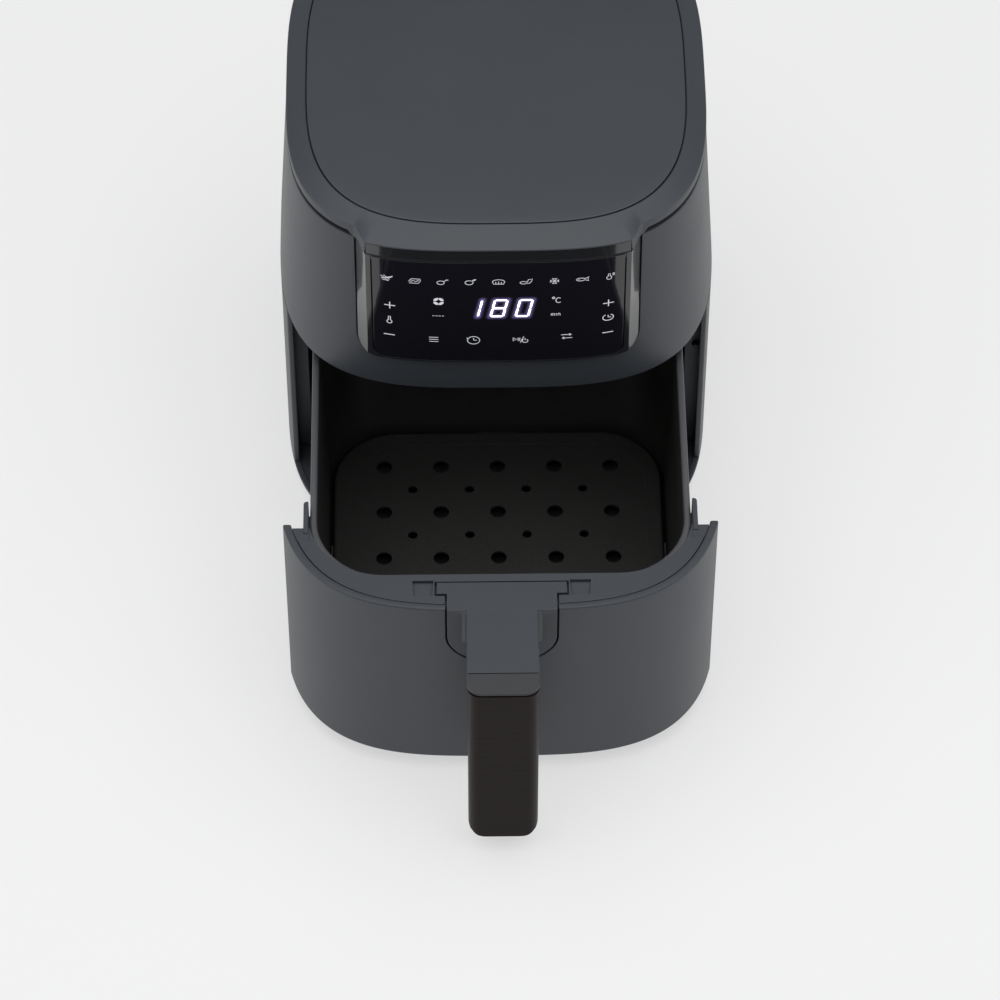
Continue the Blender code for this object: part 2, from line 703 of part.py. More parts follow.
def make_lid_plate(root):
    top = LID_TOP_Z - LID_CROWN
    rings = [
        plate_ring(0, top - PLATE_THICKNESS + GAP),
        plate_ring(0, top - 0.0003),
        plate_ring(0.0008, top + 0.0003),
        plate_ring(0.045, top + 0.0012),
        plate_ring(0.085, top + LID_CROWN),
    ]
    placed("lid_plate", skin(rings), "shell_plastic", root)


# ---- Heating chamber and drive -------------------------------------------------------------------------------


def chamber_ring(inset, z, front=CHAMBER_FRONT_Y):
    radius = BAY_RADIUS - inset
    outline = rounded(CHAMBER_HALF_WIDTH - inset, front + inset, BAY_BACK_Y - inset, radius, radius)
    return [(x, y, z) for x, y in outline]


def make_bay_liner(root):
    top = SEAM_Z - 0.004
    bottom = BASE_TOP + GAP
    rings = [
        chamber_ring(0, bottom),
        chamber_ring(0, top),
        chamber_ring(SHEET, top),
        chamber_ring(SHEET, bottom),
    ]
    liner = placed("bay_liner", skin(rings, closed=True), "steel", root)
    cut(liner, box((-WIDTH, -CUT, 0), (WIDTH, BULKHEAD_Y + SHELL_WALL + GAP, SEAM_Z)))


def element_terminals():
    """Where the heating element's two ends leave through the chamber's top."""
    x = ELEMENT_OUTER + TERMINAL_REACH
    return [(x, FAN_Y - TERMINAL_HALF_PITCH), (x, FAN_Y + TERMINAL_HALF_PITCH)]


def sensor_place():
    return (SENSOR_X, CHAMBER_FRONT_Y + SENSOR_INSET)


def upright(radius, x, y, z, segments=16):
    """A drill that passes through a sheet at this height."""
    return rod(radius, (x, y, z - 0.01), (x, y, z + 0.01), segments)


def make_heating_chamber(root):
    rings = [
        chamber_ring(SHEET, CHAMBER_TOP_Z - SHEET),
        chamber_ring(SHEET, CHAMBER_BOTTOM_Z),
        chamber_ring(0, CHAMBER_BOTTOM_Z),
        chamber_ring(0, CHAMBER_TOP_Z),
    ]
    chamber = placed("heating_chamber", skin(rings), "aluminium", root)
    top = CHAMBER_TOP_Z
    for x, y in element_terminals() + [sensor_place()]:
        cut(chamber, upright(TERMINAL_HOLE, x, y, top, 12))
    cut(chamber, upright(FAN_HOLE, 0, FAN_Y, top))
    half = DUCT_HALF_WIDTH
    low = (-half, BAY_BACK_Y - CUT, CHAMBER_BOTTOM_Z + 0.012)
    cut(chamber, box(low, (half, BAY_BACK_Y + CUT, CHAMBER_TOP_Z - 0.006)))


def element_height():
    return CHAMBER_BOTTOM_Z + 0.0125


def tube(name, points, radius, material, parent):
    """A bent tube along points, as one closed mesh."""
    curve = bpy.data.curves.new(name, "CURVE")
    curve.dimensions = "3D"
    curve.bevel_depth = radius
    curve.bevel_resolution = 2
    curve.use_fill_caps = True
    spline = curve.splines.new("POLY")
    spline.points.add(len(points) - 1)
    for point, place in zip(spline.points, points):
        point.co = (*place, 1)
    obj = bpy.data.objects.new(name + "_path", curve)
    tools.objects.link(obj)
    bpy.context.view_layer.update()
    graph = bpy.context.evaluated_depsgraph_get()
    mesh = bpy.data.meshes.new_from_object(obj.evaluated_get(graph))
    bpy.data.objects.remove(obj, do_unlink=True)
    bm = mesh_again(mesh)
    bmesh.ops.remove_doubles(bm, verts=bm.verts, dist=1e-5)
    return placed(name, bm, material, parent)


def make_heating_element(root):
    """Two turns of sheathed tube under the chamber's top, with both ends turned up through it."""
    z = element_height()
    top = CHAMBER_TOP_Z + 0.008
    (first_x, first_y), (last_x, last_y) = element_terminals()
    start = -ELEMENT_START * 2 * math.pi
    points = [(first_x, first_y, top), (first_x, first_y, z + 0.006), (first_x - 0.003, first_y, z + 0.001)]
    for share in spread(0, 1, ELEMENT_POINTS):
        angle = start - share * ELEMENT_TURNS * 2 * math.pi
        radius = ELEMENT_OUTER + (ELEMENT_INNER - ELEMENT_OUTER) * share
        points.append((radius * math.cos(angle), FAN_Y + radius * math.sin(angle), z))
    lift = z + 2.6 * ELEMENT_RADIUS
    points.append((ELEMENT_INNER + 0.004, last_y + 0.004, lift - 0.002))
    points.append((ELEMENT_INNER + 0.012, last_y, lift))
    points.append((last_x - 0.003, last_y, lift))
    points.append((last_x, last_y, lift + 0.003))
    points.append((last_x, last_y, top))
    tube("heating_element", points, ELEMENT_RADIUS, "steel", root)


def make_element_clips(root):
    """Three hangers that hold the element's two turns up under the chamber's top."""
    z = element_height()
    top = CHAMBER_TOP_Z - SHEET - GAP
    for number, angle in enumerate((90, 180, 270), 1):
        direction = Vector((math.cos(math.radians(angle)), math.sin(math.radians(angle)), 0))
        centre = Vector((0, FAN_Y, 0))
        middle = centre + direction * (ELEMENT_INNER + ELEMENT_OUTER) / 2
        bm = box((-0.020, -0.002, z + ELEMENT_RADIUS + 0.0006), (0.020, 0.002, top))
        matrix = Matrix.Translation(middle) @ Matrix.Rotation(math.radians(angle), 4, "Z")
        bmesh.ops.transform(bm, matrix=matrix, verts=bm.verts)
        placed(f"element_clip_{number}", bm, "steel", root)


def make_element_guard(root):
    """Round wire guard: three rings on three bars, below the element."""
    z = CHAMBER_BOTTOM_Z + 0.0030
    reach, bar = GUARD_REACH, GUARD_WIRE
    first = box((-reach, FAN_Y - bar, z - bar), (reach, FAN_Y + bar, z + bar))
    guard = placed("element_guard", first, "steel", root)
    for angle in (60, 120):
        bm = box((-reach, -bar, z - bar), (reach, bar, z + bar))
        matrix = Matrix.Translation((0, FAN_Y, 0)) @ Matrix.Rotation(math.radians(angle), 4, "Z")
        bmesh.ops.transform(bm, matrix=matrix, verts=bm.verts)
        join(guard, bm)
    for radius in GUARD_RINGS:
        join(guard, band(radius, 0.0016, z - 0.0008, z + 0.0008))


def band(radius, width, low, high, segments=28):
    """A flat hoop about the fan's axis."""
    rings = []
    for reach, z in ((radius, low), (radius, high), (radius - width, high), (radius - width, low)):
        ring = []
        for k in range(segments):
            turn = 2 * math.pi * (k + 0.5) / segments
            ring.append((reach * math.cos(turn), FAN_Y + reach * math.sin(turn), z))
        rings.append(ring)
    return skin(rings, closed=True)


def make_fan(name, radius, disc_z, blade_height, blades, material, rotor):
    """A stamped disc with upright blades, and a hub with a bore for the shaft. It is built about the axis."""
    low, high = sorted((disc_z, disc_z + blade_height))
    half = DISC_THICKNESS / 2
    disc = rod(radius, (0, 0, disc_z - half), (0, 0, disc_z + half), 32)
    fan = placed(name, disc, material, rotor)
    join(fan, rod(HUB_RADIUS, (0, 0, low - 0.002), (0, 0, high + 0.001), 16))
    start, end, half = radius * BLADE_START, radius * BLADE_END, BLADE_THICKNESS / 2
    for k in range(blades):
        bm = box((start, -half, low), (end, half, high))
        turn = Matrix.Rotation(2 * math.pi * k / blades, 4, "Z")
        lean = Matrix.Translation((start, 0, 0)) @ Matrix.Rotation(BLADE_LEAN, 4, "Z")
        lean = lean @ Matrix.Translation((-start, 0, 0))
        bmesh.ops.transform(bm, matrix=turn @ lean, verts=bm.verts)
        join(fan, bm)
    cut(fan, rod(SHAFT_RADIUS + GAP, (0, 0, low - CUT), (0, 0, high + CUT), 16))


def cooling_z():
    return CHAMBER_TOP_Z + 0.012


def motor_bottom():
    return cooling_z() + 0.0150


def make_rotor(rotor):
    hot_z = CHAMBER_TOP_Z - 0.0070
    make_fan("hot_air_fan", FAN_RADIUS, hot_z, -0.0130, 8, "aluminium", rotor)
    make_fan("cooling_fan", FAN_RADIUS + 0.004, cooling_z(), 0.0090, 9, "black_plastic", rotor)
    shaft = rod(SHAFT_RADIUS, (0, 0, hot_z - 0.0160), (0, 0, motor_bottom() + MOTOR_HEIGHT + 0.002), 16)
    placed("motor_shaft", shaft, "steel", rotor)


def make_insulation_plate(root):
    low = CHAMBER_TOP_Z + INSULATION_RISE
    outline = rounded(INSULATION_HALF_WIDTH, CHAMBER_FRONT_Y + 0.02, BAY_BACK_Y - 0.015, 0.03, 0.03, 4)
    plate = prism(outline, low, low + INSULATION_THICKNESS)
    plate = placed("insulation_plate", plate, "aluminium", root)
    cut(plate, upright(1.5 * FAN_HOLE, 0, FAN_Y, low))
    for x, y in element_terminals() + [sensor_place()]:
        cut(plate, upright(TERMINAL_HOLE + EDGE, x, y, low, 12))


def make_motor(root):
    bottom = motor_bottom() + GAP
    can = rod(MOTOR_RADIUS, (0, FAN_Y, bottom), (0, FAN_Y, bottom + MOTOR_HEIGHT), 28)
    motor = placed("fan_motor", can, "steel", root)
    join(motor, box((-0.012, FAN_Y - 0.038, bottom + 0.004), (0.012, FAN_Y - 0.020, bottom + 0.024)))
    bore = SHAFT_RADIUS + SLIDE_GAP
    cut(motor, rod(bore, (0, FAN_Y, bottom - CUT), (0, FAN_Y, bottom + MOTOR_HEIGHT + CUT), 16))
    plate_low = motor_bottom() - 0.0018
    low = CHAMBER_TOP_Z + INSULATION_RISE + INSULATION_THICKNESS + GAP
    bracket = rod(0.034, (0, FAN_Y, plate_low), (0, FAN_Y, plate_low + 0.0015), 28)
    bracket = placed("motor_bracket", bracket, "steel", root)
    for k in range(3):
        turn = Matrix.Rotation(2 * math.pi * k / 3 + math.pi / 2, 4, "Z")
        matrix = Matrix.Translation((0, FAN_Y, 0)) @ turn
        reach = FAN_RADIUS + 0.016
        for low_corner, high_corner in (
            ((0.0300, -0.0060, plate_low + 0.0001), (reach, 0.0060, plate_low + 0.0014)),
            ((reach - 0.0018, -0.0055, low), (reach - 0.0003, 0.0055, plate_low + 0.0010)),
            ((reach - 0.0010, -0.0050, low + 0.0002), (reach + 0.0100, 0.0050, low + 0.0014)),
        ):
            bm = box(low_corner, high_corner)
            bmesh.ops.transform(bm, matrix=matrix, verts=bm.verts)
            join(bracket, bm)
    cut(bracket, upright(0.010, 0, FAN_Y, plate_low))


def make_sensors(root):
    x, y = sensor_place()
    sensor = rod(0.0030, (x, y, CHAMBER_BOTTOM_Z + 0.010), (x, y, CHAMBER_TOP_Z + 0.014), 12)
    sensor = placed("temperature_sensor", sensor, "steel", root)
    join(sensor, rod(0.0050, (x, y, CHAMBER_TOP_Z + 0.0050), (x, y, CHAMBER_TOP_Z + 0.0090), 6))
    z = CHAMBER_TOP_Z + INSULATION_RISE + INSULATION_THICKNESS + GAP + 0.004
    fuse = placed("thermal_fuse", rod(0.004, (-0.060, 0.070, z), (-0.030, 0.070, z), 12), "steel", root)
    join(fuse, box((-0.052, 0.062, z - 0.0038), (-0.038, 0.078, z - 0.0022)))


def make_power_board(root):
    low = CHAMBER_TOP_Z + 0.0060
    board = box((0.068, FAN_Y + 0.022, low), (0.108, FAN_Y + 0.092, low + 0.0016))
    board = placed("power_board", board, "circuit_board", root)
    y = FAN_Y + 0.022
    join(board, box((0.073, y + 0.008, low + 0.001), (0.089, y + 0.028, low + 0.017)))
    join(board, box((0.092, y + 0.010, low + 0.001), (0.104, y + 0.036, low + 0.014)))
    join(board, rod(0.006, (0.082, y + 0.048, low + 0.001), (0.082, y + 0.048, low + 0.021), 16))


# ---- Drawer switch -------------------------------------------------------------------------------------------


def switch_place():
    """The X and Z of the drawer switch's plunger, midway between the bay liner and the housing's side."""
    return ((CHAMBER_HALF_WIDTH + side_x(BULKHEAD_Y + SHELL_WALL, SHELL_WALL)) / 2, SWITCH_Z)


def make_drawer_switch(root):
    x, z = switch_place()
    front = BULKHEAD_Y + SHELL_WALL + GAP
    low = (x - SWITCH_HALF_WIDTH, front, z - SWITCH_HALF_HEIGHT)
    high = (x + SWITCH_HALF_WIDTH, front + SWITCH_DEPTH, z + SWITCH_HALF_HEIGHT)
    body = placed("drawer_switch", box(low, high), "black_plastic", root)
    depth = PLUNGER_SEATED + PLUNGER_TRAVEL + 0.002
    cut(body, rod(PLUNGER_RADIUS + 0.0004, (x, front - CUT, z), (x, front + depth, z), 12))


def make_switch_plunger(parent):
    back = SHELL_WALL + PLUNGER_SEATED
    pin = rod(PLUNGER_RADIUS, (0, -PLUNGER_TIP, 0), (0, back, 0), 12)
    placed("switch_plunger", pin, "black_plastic", parent)


# ---- Back ----------------------------------------------------------------------------------------------------


def make_exhaust(root):
    low, high = GRILLE_BOTTOM_Z, GRILLE_BOTTOM_Z + GRILLE_HEIGHT
    half = GRILLE_HALF_WIDTH
    back = BACK_Y - draw_in(high) - 0.0008
    front = back - GRILLE_THICKNESS
    rim = GRILLE_RIM
    grille = placed("exhaust_grille", box((-half, front, low), (half, back, high)), "black_plastic", root)
    cut(grille, box((rim - half, front - CUT, low + rim), (half - rim, back + CUT, high - rim)))
    pitch = (GRILLE_HEIGHT - 2 * rim) / GRILLE_SLATS
    near, far = front + 0.0002, back - 0.0002
    for k in range(GRILLE_SLATS):
        z = low + rim + pitch * (k + 0.5)
        slat = [(near, z - 0.0020), (far, z + 0.0002), (far, z + 0.0018), (near, z - 0.0004)]
        join(grille, prism(slat, rim - half - EDGE, half - rim + EDGE, "X"))
    duct_low = CHAMBER_BOTTOM_Z + 0.010
    duct_high = CHAMBER_TOP_Z
    start, end = BAY_BACK_Y + GAP, front - EDGE
    half, wall = DUCT_HALF_WIDTH + 0.004, DUCT_WALL
    duct = box((-half, start, duct_low), (half, end, duct_high))
    duct = placed("exhaust_duct", duct, "aluminium", root)
    cut(duct, box((wall - half, start - CUT, duct_low + wall), (half - wall, end + CUT, duct_high - wall)))


def make_rear_spacer(root):
    half, (low, high) = SPACER_HALF_WIDTH, SPACER_Z
    spacer = box((-half, BACK_Y + GAP, low), (half, OVERALL_BACK_Y, high))
    spacer = placed("rear_spacer", spacer, "shell_plastic", root)
    bevel = spacer.modifiers.new("rounding", "BEVEL")
    bevel.width = 0.0015
    bevel.segments = 2


def make_cord_gland(root):
    gland = rod(GLAND_RADIUS, (GLAND_X, BACK_Y - 0.012, GLAND_Z), (GLAND_X, BACK_Y + 0.0045, GLAND_Z), 16)
    gland = placed("cord_gland", gland, "black_plastic", root)
    inner = BACK_Y - 0.0003
    join(gland, rod(GLAND_COLLAR, (GLAND_X, inner, GLAND_Z), (GLAND_X, inner + 0.0030, GLAND_Z), 20))
    cut(gland, rod(GLAND_BORE, (GLAND_X, BACK_Y - CUT, GLAND_Z), (GLAND_X, BACK_Y + CUT, GLAND_Z), 12))


# ---- Drawer --------------------------------------------------------------------------------------------------


def shield_outline(grow):
    """The handle bracket's front outline, in X and Z, grown all round by a joint's width."""
    half, drop = SHIELD_HALF_WIDTH + grow, SHIELD_DROP + grow
    top = DRAWER_TOP_Z + CUT
    below = []
    for angle in spread(0, math.pi, 17):
        below.append((half * math.cos(angle), SHIELD_WAIST_Z - drop * math.sin(angle)))
    return [(half, top)] + below + [(-half, top)]


def make_drawer_front(drawer):
    wall = DRAWER_WALL
    bottom, top = DRAWER_BOTTOM_Z, DRAWER_TOP_Z
    rings = [
        body_plan(EDGE, bottom),
        body_plan(0, bottom + 1.5 * EDGE),
        body_plan(0, top - 0.8 * EDGE),
        body_plan(0.8 * EDGE, top),
        body_plan(wall - 0.0006, top),
        body_plan(wall, top - 0.0006),
        body_plan(wall, bottom + 0.0025),
        body_plan(wall + FLANGE_WIDTH, bottom + 0.0025),
        body_plan(wall + FLANGE_WIDTH, bottom),
    ]
    front = placed("drawer_front", skin(rings, closed=True), "shell_plastic", drawer)
    cut(front, box((-WIDTH, WRAP_Y, 0), (WIDTH, BACK_Y + CUT, SEAM_Z + CUT)))
    cut(front, prism(shield_outline(BRACKET_GAP), -CUT, CUT, "Y"))
    x, z = switch_place()
    tip = BULKHEAD_Y - PLUNGER_TIP - GAP
    low = (x - PLUNGER_RADIUS - SLIDE_GAP, WRAP_Y - 2 * DRAWER_WALL, z - RIB_HALF_HEIGHT)
    outer = side_x(WRAP_Y, SHELL_WALL) - SLIDE_GAP
    join(front, box(low, (outer, tip, z + RIB_HALF_HEIGHT)))


def ledge_ring(inset, z):
    return body_plan(DRAWER_WALL + GAP + inset, z)


def make_drawer_ledge(drawer):
    """The frame between the drawer front and the basket's rim, with an arm on each side of the basket."""
    top, bottom = LEDGE_TOP_Z, LEDGE_TOP_Z - LEDGE_THICKNESS
    outline = [(x, y) for x, y, _ in ledge_ring(0, 0)]
    ledge = placed("drawer_ledge", prism(outline, bottom, top), "shell_plastic", drawer)
    end = WRAP_Y - 2 * EDGE
    cut(ledge, box((-WIDTH, end, 0), (WIDTH, BACK_Y + CUT, SEAM_Z + CUT)))
    for side in (-1, 1):
        near, far = sorted((side * BASKET_HALF_WIDTH, side * (WIDTH / 2 - DRAWER_WALL - LEDGE_STEP_DEPTH * 2)))
        low = (near, end - LEDGE_STEP_LENGTH, top - LEDGE_STEP_DEPTH)
        cut(ledge, box(low, (far, end + CUT, top + CUT)))
    hole = [(x, y) for x, y, _ in tray_ring(-SLIDE_GAP, 0)]
    cut(ledge, prism(hole, bottom - CUT, top + CUT))
    inner = BASKET_HALF_WIDTH + SLIDE_GAP
    outer = BAY_HALF_WIDTH - SLIDE_GAP
    tip = WRAP_Y + ARM_REACH
    for side in (-1, 1):
        start = WRAP_Y - ARM_START
        rounding = arc(outer - ARM_ROUND, tip - ARM_ROUND, ARM_ROUND, 0, 90, 4)
        arm = [(inner, start), (outer, start)] + rounding + [(inner, tip)]
        arm = [(side * x, y) for x, y in arm]
        join(ledge, prism(arm, bottom - ARM_DROP, top))
        hook_inner = BASKET_HALF_WIDTH - HOOK_REACH
        hook_top = BASKET_RIM_Z - BASKET_ROLL - GAP
        near, far = sorted((side * hook_inner, side * (inner + EDGE)))
        join(ledge, box((near, start, bottom - ARM_DROP), (far, tip - 2 * ARM_ROUND, hook_top)))
    cut(ledge, prism(tab_outline(BRACKET_GAP), bottom - CUT, top + CUT))
    for side in (-1, 1):
        x = side * POCKET_X
        near, far = POCKET_FRONT_Y, POCKET_FRONT_Y + POCKET_DEPTH
        narrow, wide = POCKET_HALF_FRONT, POCKET_HALF_BACK
        pocket = [(x - narrow, near), (x + narrow, near), (x + wide, far), (x - wide, far)]
        cut(ledge, prism(pocket, bottom + EDGE, top + CUT))


def tab_outline(grow):
    """The handle bracket's top outline, in X and Y: a T whose neck runs forward over the drawer front."""
    half = TAB_HALF_WIDTH + grow
    neck = SHIELD_HALF_WIDTH + grow
    front, back = TAB_FRONT_Y - grow, TAB_BACK_Y + grow
    start = -0.0002 if grow == 0 else -0.010
    right = [(neck, start), (neck, front), (half, front), (half, back)]
    return right + [(-x, y) for x, y in reversed(right)]


def make_basket(drawer):
    rim = BASKET_RIM_Z
    floor = BASKET_BOTTOM_Z
    rings = [
        tray_ring(0.0160, floor),
        tray_ring(0.0085, floor + 0.0020),
        tray_ring(BASKET_TAPER, floor + 0.0080),
        tray_ring(BASKET_ROLL_WIDTH, rim - BASKET_ROLL),
        tray_ring(0, rim - BASKET_ROLL),
        tray_ring(0, rim),
        tray_ring(BASKET_ROLL_WIDTH + BASKET_SHEET, rim),
        tray_ring(BASKET_TAPER + BASKET_SHEET, floor + 0.0085),
        tray_ring(0.0092 + BASKET_SHEET, floor + 0.0035),
        tray_ring(0.0165 + BASKET_SHEET, floor + BASKET_SHEET),
    ]
    placed("basket", skin(rings), "nonstick", drawer)


def make_handle(drawer):
    half = STEM_HALF_WIDTH
    low, top = STEM_BOTTOM_Z, DRAWER_TOP_Z
    under = LEDGE_TOP_Z - LEDGE_THICKNESS
    bracket = placed("handle_bracket", prism(tab_outline(0), under, top), "shell_plastic", drawer)
    shield = [(x, min(z, top - EDGE)) for x, z in shield_outline(0)]
    join(bracket, prism(shield, 0.0002, 0.0002 + SHIELD_THICKNESS, "Y"))
    join(bracket, box((-half, -STEM_REACH, low), (half, 0.0030, top - 0.0002)))
    gusset = [(0.0010, low + 0.001), (0.0010, low - GUSSET_DROP)]
    for angle in spread(0, math.pi / 2, 7):
        reach, rise = 1 - math.cos(angle), math.sin(angle)
        gusset.append((-GUSSET_REACH * reach, low - GUSSET_DROP * (1 - rise)))
    gusset.append((-GUSSET_REACH, low + 0.001))
    join(bracket, prism(gusset, -half + 0.0001, half - 0.0001, "X"))
    near, far = TONGUE_Y
    join(bracket, box((-TONGUE_X, near, under - 0.0030), (TONGUE_X, far, under - 0.0005)))
    near, far = RISER_Y
    join(bracket, box((-RISER_X, near, under - EDGE), (RISER_X, far, under + EDGE)))

    cap_low = top - CAP_THICKNESS
    nose = HANDLE_REACH - CAP_SETBACK
    start = -STEM_REACH - GAP
    tenon_half = half - TENON_INSET
    tenon = box((-tenon_half, GRIP_SPLIT_Y + GAP, low), (tenon_half, -STEM_REACH + 0.002, cap_low - GAP))
    join(bracket, tenon)
    corner = CAP_CORNER
    cap = [(half, start)] + [(x, -y) for x, y in arc(half - corner, nose - corner, corner, 0, 90)]
    cap = cap + [(-x, y) for x, y in reversed(cap)]
    cap = placed("handle_cap", prism(cap, cap_low, top), "shell_plastic", drawer)
    bevel = cap.modifiers.new("rounding", "BEVEL")
    bevel.width = 0.0005
    bevel.segments = 2
    bevel.limit_method = "ANGLE"

    grip_half = half - 0.0004
    split = GRIP_SPLIT_Y
    corner = GRIP_CORNER
    rounding = arc(grip_half - corner, HANDLE_REACH - corner, corner, 0, 90)
    section = [(grip_half, split)] + [(x, -y) for x, y in rounding]
    section = section + [(-x, y) for x, y in reversed(section)]
    grip = placed("handle_grip", prism(section, GRIP_BOTTOM_Z, cap_low - GAP), "grip_brown", drawer)
    face = rounded(grip_half + 0.0001, GRIP_BOTTOM_Z, top + CUT, GRIP_FOOT_CORNER, EDGE)
    keep(grip, prism(face, -HANDLE_REACH - CUT, -HANDLE_BACK + CUT, "Y"))

    spine_half = grip_half - EDGE
    corner = SPINE_CORNER
    section = [(spine_half, split + GAP), (-spine_half, split + GAP)]
    section += arc(corner - spine_half, -HANDLE_BACK - corner, corner, 180, 90, 4)
    section += arc(spine_half - corner, -HANDLE_BACK - corner, corner, 90, 0, 4)
    foot = GRIP_BOTTOM_Z + EDGE
    spine = placed("handle_spine", prism(section, foot, low - GAP), "shell_plastic", drawer)
    face = rounded(spine_half + 0.0001, foot, low + CUT, GRIP_FOOT_CORNER - 0.0005, EDGE)
    keep(spine, prism(face, -HANDLE_REACH - CUT, -HANDLE_BACK + CUT, "Y"))

    z = HANDLE_SCREW_Z
    for name, x in (("handle_screw_left", -HANDLE_SCREW_X), ("handle_screw_right", HANDLE_SCREW_X)):
        placed(name, rod(0.0040, (x, 0.0038, z), (x, 0.0062, z), 12), "steel", drawer)


# ---- Crisper plate -------------------------------------------------------------------------------------------


def make_crisper(parent):
    """A perforated tray that stands upside down on the basket's floor, with four bumpers round its skirt."""
    inset = BASKET_TAPER + BASKET_SHEET + CRISPER_CLEARANCE
    low, top = CRISPER_BOTTOM_Z + CRISPER_LEG, CRISPER_TOP_Z
    rings = [
        tray_ring(inset + SHEET, top - SHEET),
        tray_ring(inset + SHEET, low),
        tray_ring(inset, low),
        tray_ring(inset, top - 0.0006),
        tray_ring(inset + 0.0006, top),
    ]
    plate = placed("crisper_plate", skin(rings), "nonstick", parent)
    middle = FAN_Y
    centre = (CRISPER_HOLES - 1) / 2
    for row in range(CRISPER_HOLES):
        for column in range(CRISPER_HOLES):
            x, y = (column - centre) * CRISPER_PITCH_X, middle + (row - centre) * CRISPER_PITCH_Y
            cut(plate, rod(CRISPER_HOLE_RADIUS, (x, y, top - 0.005), (x, y, top + 0.005), 8))
    for x in (-CRISPER_LEG_X, CRISPER_LEG_X):
        for y in (middle - CRISPER_LEG_X, middle + CRISPER_LEG_X):
            leg = rod(0.0035, (x, y, CRISPER_BOTTOM_Z), (x, y, top - 0.0005), 8)
            join(plate, leg)
    side = BASKET_HALF_WIDTH - inset
    end_front = BASKET_FRONT_Y + inset
    end_back = BASKET_BACK_Y - inset
    thick = CRISPER_CLEARANCE - SLIDE_GAP
    z0, z1 = top - BUMPER_LOW, top - BUMPER_HIGH
    half = BUMPER_HALF_LENGTH
    places = {
        "bumper_left": ((-side - GAP - thick, middle - half, z0), (-side - GAP, middle + half, z1)),
        "bumper_right": ((side + GAP, middle - half, z0), (side + GAP + thick, middle + half, z1)),
        "bumper_front": ((-half, end_front - GAP - thick, z0), (half, end_front - GAP, z1)),
        "bumper_back": ((-half, end_back + GAP, z0), (half, end_back + GAP + thick, z1)),
    }
    for name, (low_corner, high_corner) in places.items():
        placed(name, box(low_corner, high_corner), "rubber", parent)


clear_scene()
parts = new_collection("air_fryer")
tools = new_collection("cutters")
tools.hide_render = True

root = empty("front_edge", (0, -FOOTPRINT_MIDDLE_Y, 0))
make_base_tray(root)
make_feet(root)
make_base_screws(root)
make_lower_housing(root)
make_upper_shell(root)
make_panel_frame(root)
make_control_overlay(root)
make_display_module(root)
make_control_board(root)
make_lid(root)
make_lid_plate(root)
make_bay_liner(root)
make_heating_chamber(root)
make_heating_element(root)
make_element_clips(root)
make_element_guard(root)
make_insulation_plate(root)
make_motor(root)
make_sensors(root)
make_power_board(root)
make_drawer_switch(root)
make_exhaust(root)
make_rear_spacer(root)
make_cord_gland(root)

make_rotor(empty("fan_axis", (0, FAN_Y, 0), root))
plunger_x, plunger_z = switch_place()
make_switch_plunger(empty("plunger_axis", (plunger_x, BULKHEAD_Y, plunger_z), root))

drawer = empty("drawer_slide", (0, -DRAWER_OUT, 0), root)
make_drawer_front(drawer)
make_drawer_ledge(drawer)
make_basket(drawer)
make_handle(drawer)
make_crisper(empty("crisper_lift", (0, 0, 0), drawer))
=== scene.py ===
"""Looks of a drawer-type air fryer, standing with its drawer pulled out.

The script goes round the appliance as it is put together: base, housing, lid, control panel, drawer, handle,
back and inner parts. Lengths are in metres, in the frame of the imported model.
"""

import math

import bmesh
import bpy
import numpy as np
from mathutils import Matrix, Quaternion, Vector


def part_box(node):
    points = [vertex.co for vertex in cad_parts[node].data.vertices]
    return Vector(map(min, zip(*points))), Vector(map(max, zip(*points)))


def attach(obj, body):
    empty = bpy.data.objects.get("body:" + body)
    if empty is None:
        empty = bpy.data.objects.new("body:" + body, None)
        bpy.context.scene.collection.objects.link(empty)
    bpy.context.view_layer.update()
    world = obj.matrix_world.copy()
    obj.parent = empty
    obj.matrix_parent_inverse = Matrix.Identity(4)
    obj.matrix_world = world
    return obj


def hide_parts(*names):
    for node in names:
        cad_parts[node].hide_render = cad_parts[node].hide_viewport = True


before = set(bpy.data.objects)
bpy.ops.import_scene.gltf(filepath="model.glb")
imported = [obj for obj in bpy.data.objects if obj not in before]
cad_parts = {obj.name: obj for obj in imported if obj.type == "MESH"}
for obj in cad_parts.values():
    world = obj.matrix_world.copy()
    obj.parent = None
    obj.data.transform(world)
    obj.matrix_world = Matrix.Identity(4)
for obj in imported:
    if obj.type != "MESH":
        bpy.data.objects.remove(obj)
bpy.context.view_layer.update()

# ---- Camera -----------------------------------------------------------------
# A long lens looks down at the open drawer from in front, as someone at the worktop would see it from a
# step back. It stands a little to the left, because the appliance isn't quite square to the viewer.

eye = Vector((-0.0254, -1.8675, 2.3185))
aim = Vector((-0.0002, -0.1198, 0.1600))
camera_roll = math.radians(0.09)
lens = bpy.data.cameras.new("camera")
lens.sensor_width = 36.0
lens.lens = 167.2
lens.clip_end = 100
camera = bpy.data.objects.new("camera", lens)
camera.location = eye
camera.rotation_mode = "QUATERNION"
camera.rotation_quaternion = (aim - eye).to_track_quat("-Z", "Y") @ Quaternion((0, 0, 1), camera_roll)
bpy.context.scene.collection.objects.link(camera)
bpy.context.scene.camera = camera

# ---- Room -------------------------------------------------------------------
# A seamless pale studio table under three softboxes: a low one on each side, which draws the long
# highlights on the housing's flanks, and a wide one overhead.

LIT_PLACE = Vector((0, 0, 0.12))  # where the softboxes point


